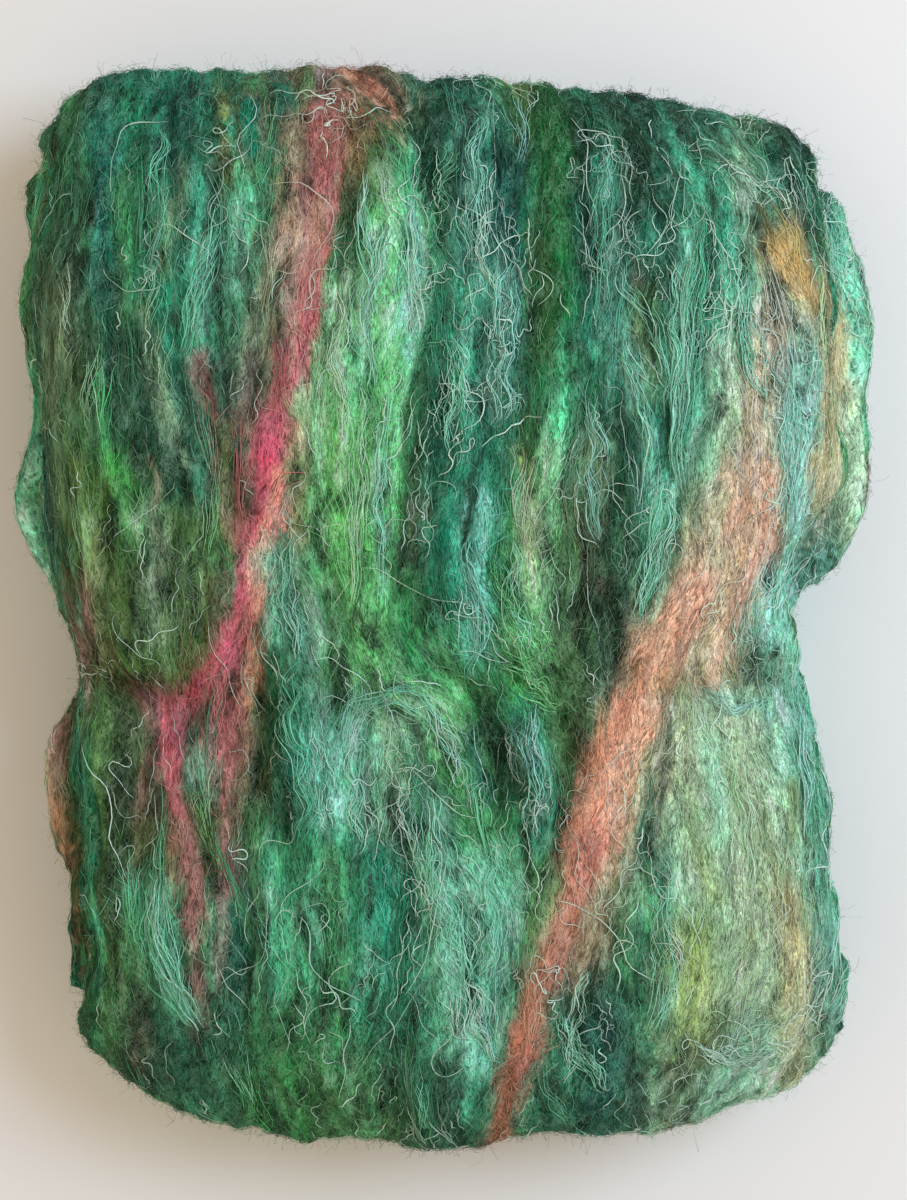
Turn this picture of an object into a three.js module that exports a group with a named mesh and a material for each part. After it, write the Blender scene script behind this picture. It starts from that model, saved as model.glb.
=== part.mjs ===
// Silk batt: one carded sheet of dyed wool and silk, rolled up, laid on its side, pressed flat
// and pinched across the middle.
//
// Millimetres, +Z up. The roll's axis is X. The fibres run round the roll, so along Y on its
// upper face. The origin is the middle of the flat foot that the batt rests on.
//
// Places on the roll are given in percent: "across" of half the width, from the left end at -100
// to the right end at 100, and "along" of half the length, from the front curl at -100 to the
// back curl at 100. Depths, widths and rises of folds are in millimetres.

import * as THREE from 'three';
import { LoftGeometry } from 'three/addons/geometries/LoftGeometry.js';

// Driving sizes
const LENGTH = 284;
const WIDTH = 223;
const THICKNESS = 71;
const LAYER = 13;
const GROOVE = 7;

// How square the section is along its length and through its thickness, 2 being an ellipse
const FULLNESS_ALONG = 3.4;
const FULLNESS_THROUGH = 2.3;

// The weight of the roll on its lower half spreads it, and the rest is pressed into the foot
const LOWER_SPREAD = 1.3;

// Share of the height that the upper face loses towards the two ends, and share of a fold's rise
// that is left where it turns over a curl
const END_FALL = 0.1;
const RISE_ON_CURL = 0.4;

// Depth of the innermost turn under the upper face, whose fold is the middle of each end
const CORE_DEPTH = 2.5 * LAYER;

// Steps of the surface
const POINTS_AROUND = 72;
const RINGS_ALONG_AXIS = 50;
const RINGS_ON_END = 10;
const FOOT_STEP_WEIGHT = 0.42;

const HALF_LENGTH = LENGTH / 2;
const HALF_WIDTH = WIDTH / 2;

// Where the back and front curls reach, across the roll
const CURLS = [
  { across: -100, back: 91, front: -84 },
  { across: -92, back: 94.5, front: -88 },
  { across: -80, back: 97.5, front: -93 },
  { across: -68, back: 99.3, front: -96 },
  { across: -45, back: 99.5, front: -98 },
  { across: -28, back: 99.8, front: -98.6 },
  { across: -5, back: 97.8, front: -100 },
  { across: 15, back: 96.8, front: -98.3 },
  { across: 45, back: 95.3, front: -98.5 },
  { across: 62, back: 93.5, front: -97.8 },
  { across: 80, back: 90.7, front: -93.5 },
  { across: 92, back: 89, front: -89.5 },
  { across: 100, back: 87, front: -86 },
];

// Where the outer layer and the layer under it end, left and right, along the roll. The under
// layer shows past the outer one as slivers on the left and as a broad lobe at the back right.
const ENDS = [
  { along: 86, outerLeft: -95, outerRight: 89, innerLeft: -99, innerRight: 90 },
  { along: 76, outerLeft: -95.5, outerRight: 89.5, innerLeft: -100.5, innerRight: 95.5 },
  { along: 65, outerLeft: -96, outerRight: 90.5, innerLeft: -98, innerRight: 99.5 },
  { along: 56, outerLeft: -96, outerRight: 92, innerLeft: -101, innerRight: 102 },
  { along: 48, outerLeft: -96, outerRight: 92, innerLeft: -98.5, innerRight: 102 },
  { along: 37, outerLeft: -94.5, outerRight: 92, innerLeft: -97.5, innerRight: 101 },
  { along: 29, outerLeft: -94, outerRight: 94, innerLeft: -99, innerRight: 100.5 },
  { along: 21, outerLeft: -93, outerRight: 93, innerLeft: -101, innerRight: 99.5 },
  { along: 15, outerLeft: -92.5, outerRight: 87, innerLeft: -100, innerRight: 98 },
  { along: 8, outerLeft: -91.5, outerRight: 79.5, innerLeft: -97, innerRight: 94.5 },
  { along: 2, outerLeft: -90, outerRight: 81, innerLeft: -93, innerRight: 86 },
  { along: -3, outerLeft: -89, outerRight: 83, innerLeft: -91, innerRight: 82 },
  { along: -10, outerLeft: -86.5, outerRight: 85, innerLeft: -88, innerRight: 84.5 },
  { along: -17, outerLeft: -85.5, outerRight: 86.5, innerLeft: -89, innerRight: 85.5 },
  { along: -26, outerLeft: -87.5, outerRight: 88.5, innerLeft: -95, innerRight: 89.5 },
  { along: -35, outerLeft: -87, outerRight: 90, innerLeft: -95.5, innerRight: 93.5 },
  { along: -43, outerLeft: -85, outerRight: 91.5, innerLeft: -93.5, innerRight: 93 },
  { along: -52, outerLeft: -87, outerRight: 93, innerLeft: -89.5, innerRight: 92.5 },
  { along: -60, outerLeft: -86, outerRight: 94.5, innerLeft: -90.5, innerRight: 93.5 },
  { along: -72, outerLeft: -88, outerRight: 95.5, innerLeft: -91.5, innerRight: 94.5 },
  { along: -80, outerLeft: -87, outerRight: 94, innerLeft: -89, innerRight: 92 },
];

// Height of the upper face, in percent of the thickness
const CROWN = [
  { along: 100, height: 92 },
  { along: 70, height: 100 },
  { along: 40, height: 99 },
  { along: 20, height: 94 },
  { along: 4, height: 88 },
  { along: -8, height: 82 },
  { along: -17, height: 78 },
  { along: -27, height: 80 },
  { along: -42, height: 85 },
  { along: -60, height: 89 },
  { along: -80, height: 87 },
  { along: -100, height: 82 },
];

// The ridges, locks, valleys and creases of the upper face. Each is a soft line, with its
// breadth and its rise or, below zero, its depth.
const FOLDS = [
  { name: 'salmon band', line: [[75, 34], [64, 16], [50, -7], [36, -34], [27, -54], [20, -75], [13, -98]],
    breadth: 11, rise: 3.5 },
  { name: 'second salmon strip', line: [[79, 30], [73, 14], [67, -3], [60, -15]], breadth: 9, rise: 2.5 },
  { name: 'rose band', line: [[-25, 95], [-30, 71], [-36, 50], [-40, 27], [-44, 8], [-51, -7], [-62, -20],
    [-61, -36], [-57, -51], [-56, -66]], breadth: 9, rise: 3 },
  { name: 'curly lobe', line: [[-34, -13], [-34, -28], [-27, -41]], breadth: 17, rise: 6 },
  { name: 'step beside the lobe', line: [[-40, -15], [-41, -30], [-37, -42]], breadth: 6, rise: -4 },
  { name: 'swirl at the waist', line: [[-33, -10], [-15, -15], [-1, -21], [3, -32]], breadth: 12, rise: 4 },
  { name: 'hollow', line: [[8, -24], [14, -34]], breadth: 9, rise: -8 },
  { name: 'blue lock', line: [[18, -22], [23, -32], [21, -43]], breadth: 8, rise: 4 },
  { name: 'waist crease, left', line: [[-90, -9], [-73, -16], [-60, -19]], breadth: 10, rise: -9 },
  { name: 'waist crease, middle', line: [[-2, -17], [13, -21], [33, -24]], breadth: 10, rise: -4 },
  { name: 'waist crease, right', line: [[45, -16], [60, -18], [76, -14], [84, -12]], breadth: 10, rise: -7 },
  { name: 'dark pocket', line: [[73, -11], [78, -16]], breadth: 9, rise: -6 },
  { name: 'lime ridge', line: [[-14, 100], [-14, 74], [-16, 38], [-19, 8], [-18, -7]], breadth: 14, rise: 2.5 },
  { name: 'valley by the lime', line: [[-3, 100], [-9, 38], [-12, 1]], breadth: 6, rise: -2.5 },
  { name: 'dark teal ridge', line: [[8, 100], [5, 38], [1, -7]], breadth: 12, rise: 2.5 },
  { name: 'valley in the teal', line: [[17, 100], [20, 38], [13, -3]], breadth: 6, rise: -2 },
  { name: 'green ridge', line: [[25, 100], [25, 38], [20, -7]], breadth: 9, rise: 2 },
  { name: 'valley past the green', line: [[33, 100], [31, 38], [36, -7]], breadth: 6, rise: -2.5 },
  { name: 'teal ridge', line: [[45, 98], [45, 47], [42, 1]], breadth: 12, rise: 3 },
  { name: 'mint ridge', line: [[64, 95], [63, 50], [55, 8]], breadth: 10, rise: 2.5 },
  { name: 'back right fold', line: [[75, 92], [79, 62], [84, 40]], breadth: 10, rise: 2 },
  { name: 'teal lock', line: [[-59, 76], [-58, 54]], breadth: 9, rise: 3 },
  { name: 'left ridge', line: [[-84, 95], [-87, 38], [-81, 1]], breadth: 12, rise: 2 },
  { name: 'left lobe, lower end', line: [[-73, 23], [-68, -6]], breadth: 15, rise: 4 },
  { name: 'valley by the rose', line: [[-49, 34], [-48, 8]], breadth: 6, rise: -2 },
  { name: 'front left lobe', line: [[-79, -29], [-79, -47], [-77, -73]], breadth: 14, rise: 3 },
  { name: 'valley by the front lobe', line: [[-71, -29], [-70, -73]], breadth: 6, rise: -3 },
  { name: 'silk lock', line: [[-66, -49], [-61, -73]], breadth: 8, rise: 2.5 },
  { name: 'front valley, left', line: [[-47, -45], [-45, -97]], breadth: 7, rise: -2 },
  { name: 'front ridge, left', line: [[-33, -51], [-29, -98]], breadth: 14, rise: 2 },
  { name: 'front valley, middle', line: [[-11, -47], [-10, -98]], breadth: 7, rise: -2 },
  { name: 'front ridge, middle', line: [[1, -45], [6, -98]], breadth: 14, rise: 3 },
  { name: 'valley by the salmon', line: [[16, -54], [11, -84]], breadth: 6, rise: -3 },
  { name: 'front ridge, right', line: [[55, -29], [50, -98]], breadth: 16, rise: 3 },
  { name: 'front valley, right', line: [[66, -32], [67, -84]], breadth: 6, rise: -2.5 },
  { name: 'teal edge ridge', line: [[78, -25], [79, -82]], breadth: 9, rise: 2 },
];

// A smooth curve through two named columns of a table
function curveThrough(rows, keyColumn, valueColumn) {
  const ordered = [...rows].sort((a, b) => a[keyColumn] - b[keyColumn]);
  const keys = ordered.map((row) => row[keyColumn]);
  const values = ordered.map((row) => row[valueColumn]);
  const curve = new THREE.CubicInterpolant(keys, values, 1, [0]);
  return (key) => curve.evaluate(key)[0];
}

const backAt = curveThrough(CURLS, 'across', 'back');
const frontAt = curveThrough(CURLS, 'across', 'front');
const crownAt = curveThrough(CROWN, 'along', 'height');
const outerLeftAt = curveThrough(ENDS, 'along', 'outerLeft');
const outerRightAt = curveThrough(ENDS, 'along', 'outerRight');
const innerLeftAt = curveThrough(ENDS, 'along', 'innerLeft');
const innerRightAt = curveThrough(ENDS, 'along', 'innerRight');

const alongMm = (percent) => percent / 100 * HALF_LENGTH;
const acrossMm = (percent) => percent / 100 * HALF_WIDTH;

// Each fold's line as straight stretches in millimetres
const foldStretches = FOLDS.map((fold) => {
  const points = fold.line.map(([across, along]) => new THREE.Vector3(acrossMm(across), alongMm(along), 0));
  return points.slice(1).map((point, index) => new THREE.Line3(points[index], point));
});

// A signed power, for the squarish oval of the section
function fullPower(value, fullness) {
  return Math.sign(value) * Math.abs(value) ** (2 / fullness);
}

// The oval at an angle: y and z run from -1 to 1
function ovalPoint(angle) {
  return { y: fullPower(Math.cos(angle), FULLNESS_ALONG), z: fullPower(Math.sin(angle), FULLNESS_THROUGH) };
}

// The outward direction of the oval, at full size
function ovalNormal(oval) {
  const y = Math.sign(oval.y) * FULLNESS_ALONG / HALF_LENGTH * Math.abs(oval.y) ** (FULLNESS_ALONG - 1);
  const z = Math.sign(oval.z) * FULLNESS_THROUGH / (THICKNESS / 2) * Math.abs(oval.z) ** (FULLNESS_THROUGH - 1);
  const size = Math.hypot(y, z);
  return { y: y / size, z: z / size };
}

// Angles round the oval, close together on the upper face and curls and wide apart at the foot
function stationAngles() {
  const samples = 4000;
  const reached = [0];
  for (let i = 1; i <= samples; i++) {
    const before = ovalPoint((i - 1) / samples * 2 * Math.PI);
    const here = ovalPoint(i / samples * 2 * Math.PI);
    const step = Math.hypot((here.y - before.y) * HALF_LENGTH, (here.z - before.z) * THICKNESS / 2);
    const weight = THREE.MathUtils.lerp(FOOT_STEP_WEIGHT, 1, THREE.MathUtils.smoothstep(here.z, -0.9, -0.3));
    reached.push(reached[i - 1] + step * weight);
  }
  const angles = [];
  let sample = 0;
  for (let k = 0; k < POINTS_AROUND; k++) {
    const target = reached[samples] * k / POINTS_AROUND;
    while (reached[sample + 1] < target) sample += 1;
    angles.push(sample / samples * 2 * Math.PI);
  }
  return angles;
}

// How much the folds raise or sink the upper face at a place, in millimetres
function foldRise(x, y) {
  const place = new THREE.Vector3(x, y, 0);
  const nearest = new THREE.Vector3();
  let rise = 0;
  FOLDS.forEach((fold, index) => {
    let gap = Infinity;
    for (const stretch of foldStretches[index]) {
      stretch.closestPointToPoint(place, true, nearest);
      gap = Math.min(gap, nearest.distanceTo(place));
    }
    const share = gap / (fold.breadth / 2);
    rise += fold.rise * Math.exp(-share * share);
  });
  return rise;
}

// A slow unevenness for the curls, the ends and the lower half, which hand-rolled fibre has
function unevenness(x, y, z) {
  return Math.sin(x / 13 + z / 17) * Math.sin(y / 21 - x / 40) + 0.6 * Math.sin(x / 7.5 - y / 33 + z / 9);
}

// How far in from the end's outermost place the surface lies, at a depth below the outer layer:
// nought at the middle of each layer and a groove between two
function grooveShare(depth, spiral) {
  return Math.sqrt(0.5 + 0.5 * Math.cos(2 * Math.PI * (depth / LAYER + spiral)));
}

// Where a layer at a depth ends on the left (side -1) or the right (side 1), in millimetres
function endReach(side, along, depth) {
  const outer = side < 0 ? outerLeftAt(along) : outerRightAt(along);
  const inner = side < 0 ? innerLeftAt(along) : innerRightAt(along);
  const toInner = THREE.MathUtils.smoothstep(depth, LAYER * 0.7, LAYER * 1.4);
  const toCore = THREE.MathUtils.smoothstep(depth, LAYER * 1.9, LAYER * 2.4);
  return acrossMm(THREE.MathUtils.lerp(outer, inner, toInner)) - side * GROOVE * 0.6 * toCore;
}

// The height of the roll at a place: the crown, less at the waist and towards the two ends
function heightAt(u, along) {
  const crown = crownAt(along) / 100;
  const waistShare = 0.8 + 0.35 * u * u;
  const height = 1 - (1 - crown) * waistShare;
  return THICKNESS * height * (1 - END_FALL * u ** 4);
}

// One point: u runs from -1 to 1 across the roll, and depth is how far inside the outer layer
// the point lies, which is more than nought only on the two ends
function surfacePoint(angle, u, depth) {
  const oval = ovalPoint(angle);
  const normal = ovalNormal(oval);
  const back = alongMm(backAt(u * 100));
  const front = alongMm(frontAt(u * 100));
  const shrinkAlong = 1 - depth / HALF_LENGTH;
  const shrinkThrough = 1 - depth / (THICKNESS / 2);
  let y = (back + front) / 2 + (back - front) / 2 * oval.y * shrinkAlong;
  const along = y / HALF_LENGTH * 100;
  // The layers shift by one in a turn of the spiral, all of it on the lower half
  const spiral = oval.z < 0 ? (1 + oval.y) / 2 : 0;
  const inset = GROOVE * grooveShare(depth, spiral);
  const left = endReach(-1, along, depth) + inset;
  const right = endReach(1, along, depth) - inset;
  let x = THREE.MathUtils.lerp(left, right, (1 + u) / 2);
  const half = heightAt(u, along) / 2;
  const lower = oval.z < 0 ? LOWER_SPREAD : 1;
  let z = half * (1 + oval.z * lower * shrinkThrough);
  const upper = THREE.MathUtils.smoothstep(oval.z, -0.5, 0.3);
  const onCurl = THREE.MathUtils.smoothstep(Math.abs(oval.y), 0.8, 1);
  const onFace = THREE.MathUtils.clamp(1 - depth / LAYER, 0, 1);
  const foldShare = upper * onFace * THREE.MathUtils.lerp(1, RISE_ON_CURL, onCurl);
  const push = foldRise(x, y) * foldShare + unevenness(x, y, z) * 0.8;
  y += normal.y * push;
  z += normal.z * push;
  x += Math.sign(u) * (1 - onFace) * unevenness(y, z, x) * 0.9;
  return new THREE.Vector3(x, y, Math.max(z, 0));
}

// Rings from the left core out over the left end, along the roll and in over the right end
function rollSections() {
  const angles = stationAngles();
  const rings = [];
  for (let k = RINGS_ON_END; k > 0; k--) rings.push({ u: -1, depth: CORE_DEPTH * k / RINGS_ON_END });
  for (let k = 0; k < RINGS_ALONG_AXIS; k++) rings.push({ u: -1 + 2 * k / (RINGS_ALONG_AXIS - 1), depth: 0 });
  for (let k = 1; k <= RINGS_ON_END; k++) rings.push({ u: 1, depth: CORE_DEPTH * k / RINGS_ON_END });
  return rings.map((ring) => angles.map((angle) => surfacePoint(angle, ring.u, ring.depth)));
}

// The whole roll, its box centred over the foot
function rollGeometry() {
  const geometry = new LoftGeometry(rollSections(), { capStart: true, capEnd: true });
  geometry.computeBoundingBox();
  const middle = geometry.boundingBox.getCenter(new THREE.Vector3());
  return geometry.translate(-middle.x, -middle.y, -geometry.boundingBox.min.z);
}

const cardedWool = new THREE.MeshStandardMaterial({ color: 0x3b7f63, roughness: 0.95, metalness: 0 });

const battRoll = new THREE.Mesh(rollGeometry(), cardedWool);
battRoll.name = 'batt_roll';

const silkBatt = new THREE.Group();
silkBatt.add(battRoll);

export default silkBatt;
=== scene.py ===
"""A rolled batt of carded wool and silk, laid on its side: its body, fibres, threads and fuzz."""

import math
from collections import namedtuple

import bmesh
import bpy
import numpy as np
from bpy.props import FloatProperty, FloatVectorProperty, IntProperty, PointerProperty
from bpy.types import Operator, Panel, PropertyGroup
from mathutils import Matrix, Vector
from mathutils.bvhtree import BVHTree


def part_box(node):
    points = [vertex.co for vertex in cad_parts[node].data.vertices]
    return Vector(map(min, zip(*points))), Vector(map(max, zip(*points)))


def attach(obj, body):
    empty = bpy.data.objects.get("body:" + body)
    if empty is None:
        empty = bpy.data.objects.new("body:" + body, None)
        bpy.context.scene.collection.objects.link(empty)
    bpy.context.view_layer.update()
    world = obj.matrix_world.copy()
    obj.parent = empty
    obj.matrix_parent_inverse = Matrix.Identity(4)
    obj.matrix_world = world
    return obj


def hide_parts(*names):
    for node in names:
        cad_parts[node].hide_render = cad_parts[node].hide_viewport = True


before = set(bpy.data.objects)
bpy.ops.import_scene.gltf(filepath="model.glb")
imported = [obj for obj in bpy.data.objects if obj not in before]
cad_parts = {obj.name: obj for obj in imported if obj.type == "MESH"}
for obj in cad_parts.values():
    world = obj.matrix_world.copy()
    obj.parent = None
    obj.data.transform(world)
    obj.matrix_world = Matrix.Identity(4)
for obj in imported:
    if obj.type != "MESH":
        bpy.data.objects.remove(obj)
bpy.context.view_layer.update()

bl_info = {
    "name": "Rolled Fibre Batt",
    "version": (1, 0, 0),
    "blender": (4, 5, 0),
    "location": "View3D > Sidebar > Batt",
    "description": "Builds a rolled batt of carded wool and silk over its solid",
    "category": "Object",
}

NODE = "batt_roll"
MM = 0.001

# The roll's box in the frame. Places are in percent of its half: 100 percent across is the right
# end, and 100 percent along is the back curl, as the camera sees them over the middle of the roll.
LOW, HIGH = (Vector(corner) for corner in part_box(NODE))
HALF_WIDTH = (HIGH.x - LOW.x) / 2
HALF_LENGTH = (HIGH.y - LOW.y) / 2
HALF_THICKNESS = (HIGH.z - LOW.z) / 2

# Where the section's straight stretch ends and its curl begins
CURL_FROM = HALF_LENGTH - HALF_THICKNESS
CURL_MIDDLE = 0.92 * HALF_THICKNESS
GIRTH_TO_FOOT = CURL_FROM * 2 + math.pi * HALF_THICKNESS

# From one layer to the next, as they show at the ends, and how deep the gaps between them are
LAYER = 7.5 * MM
LAYER_GAP = 1.6  # in millimetres

# Where the camera is, over the foot's middle, and the height that it sees at true size
EYE = Vector((0.0025, 0.0012, 0.72))
TRUE_HEIGHT = 0.045

# The least and the most that any part of a fibre's linear colour is
DARKEST = 0.002
BRIGHTEST = 0.9

# The dyes, as they look in soft daylight
DYES = {
    # The darkest dye also serves as painted shade: in the gaps between strands and in the hollow.
    "night": "#06301C",
    "pine": "#083A2B",
    "deep_teal": "#0B4D43",
    "teal": "#1E6A55",
    "sea": "#35876B",
    "jade": "#54A686",
    "mint": "#86CAAA",
    "pale_mint": "#B2E4C8",
    "aqua": "#82C0AC",
    "slate": "#3A6468",
    "spruce": "#2A5C48",
    "forest": "#235F34",
    "emerald": "#12603F",
    "sea_green": "#4C8F69",
    "fern": "#4F8A57",
    "leaf": "#3C8B42",
    "spring": "#74CC74",
    "lime": "#7AC284",
    "pale_lime": "#9CD0A2",
    "chartreuse": "#889A5A",
    "moss": "#4F7241",
    "olive": "#6C6E38",
    # Dark olive is also painted shadow beside the lobes.
    "dark_olive": "#3F421F",
    "loden": "#37522F",
    "sage": "#97B896",
    "pale_sage": "#B4CDAA",
    "bark": "#5A4F40",
    "brown": "#8C6650",
    "tan": "#A7927A",
    "mauve": "#7C605E",
    "dusty_rose": "#A06E6C",
    "rose": "#B46672",
    "hot_rose": "#C25A70",
    "terracotta": "#A8786A",
    "coral": "#E4AC90",
    "shell": "#E0AFAC",
    "blush": "#D3A992",
    "peach": "#C6B296",
    "ochre": "#B8A070",
    "straw": "#BDB488",
    "cream": "#DAD0A4",
    "amber": "#DFA756",
}


def rows_of(kind, *rows):
    """Rows of values as records of a kind. The last field takes all the places of a row's line."""
    plain = len(kind._fields) - 1
    return [kind(*row[:plain], row[plain:]) for row in rows]


# One band of dyed fibre on the upper face, painted over what comes before it: its dye, its
# breadth in millimetres, how far it covers what is under it, and the line that it follows, as
# (across, along) in percent
Streak = namedtuple("Streak", "dye breadth cover line")

# The same without a dye: a line that only changes how the fibres lie
Guide = namedtuple("Guide", "breadth cover line")

# How far a streak's colour reaches off its line, as a share of its breadth
STREAK_REACH = 0.55

GROUND = rows_of(
    Streak,
    ("spruce", 30, 1.0, (-88, 100), (-88, 40)),
    ("moss", 16, 0.7, (-94, 80), (-92, 0)),
    ("teal", 40, 0.9, (-66, 100), (-64, 40)),
    ("moss", 34, 0.8, (-80, 42), (-68, -12)),
    ("spruce", 26, 0.8, (-56, 42), (-54, 0)),
    ("fern", 30, 0.8, (-16, 78), (-22, 30), (-20, -10)),
    ("teal", 38, 0.95, (6, 100), (3, 0)),
    ("pine", 15, 0.9, (24, 98), (25, 60)),
    ("fern", 22, 0.85, (24, 34), (22, -18)),
    ("teal", 44, 0.9, (46, 98), (40, 42)),
    ("pine", 24, 0.85, (42, 98), (46, 76)),
    ("pine", 22, 0.8, (40, 34), (39, -10)),
    ("jade", 26, 0.85, (61, 76), (54, 14)),
    ("sage", 10, 0.25, (68, 90), (68, 56)),
    ("pine", 20, 0.9, (74, 98), (85, 78)),
    ("aqua", 24, 0.85, (80, 52), (79, 0)),
    ("moss", 30, 0.95, (-82, -20), (-80, -80)),
    ("spruce", 24, 0.85, (-66, -36), (-62, -92)),
    ("teal", 30, 0.9, (-36, -8), (-32, -44)),
    ("sea_green", 50, 0.9, (-38, -48), (-36, -84)),
    ("jade", 22, 0.8, (-14, -16), (-18, -42)),
    ("teal", 34, 0.85, (-12, -44), (-12, -80)),
    ("jade", 24, 0.85, (1, -40), (8, -84)),
    ("fern", 22, 0.85, (4, -12), (17, -46)),
    ("sage", 60, 0.95, (62, -16), (68, -84)),
    ("aqua", 16, 0.75, (80, -6), (88, -70)),
    ("teal", 24, 0.85, (38, -66), (32, -98)),
    ("moss", 40, 0.6, (-30, -92), (-30, -99)),
    ("pine", 14, 0.8, (0, -88), (2, -100)),
)

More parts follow.
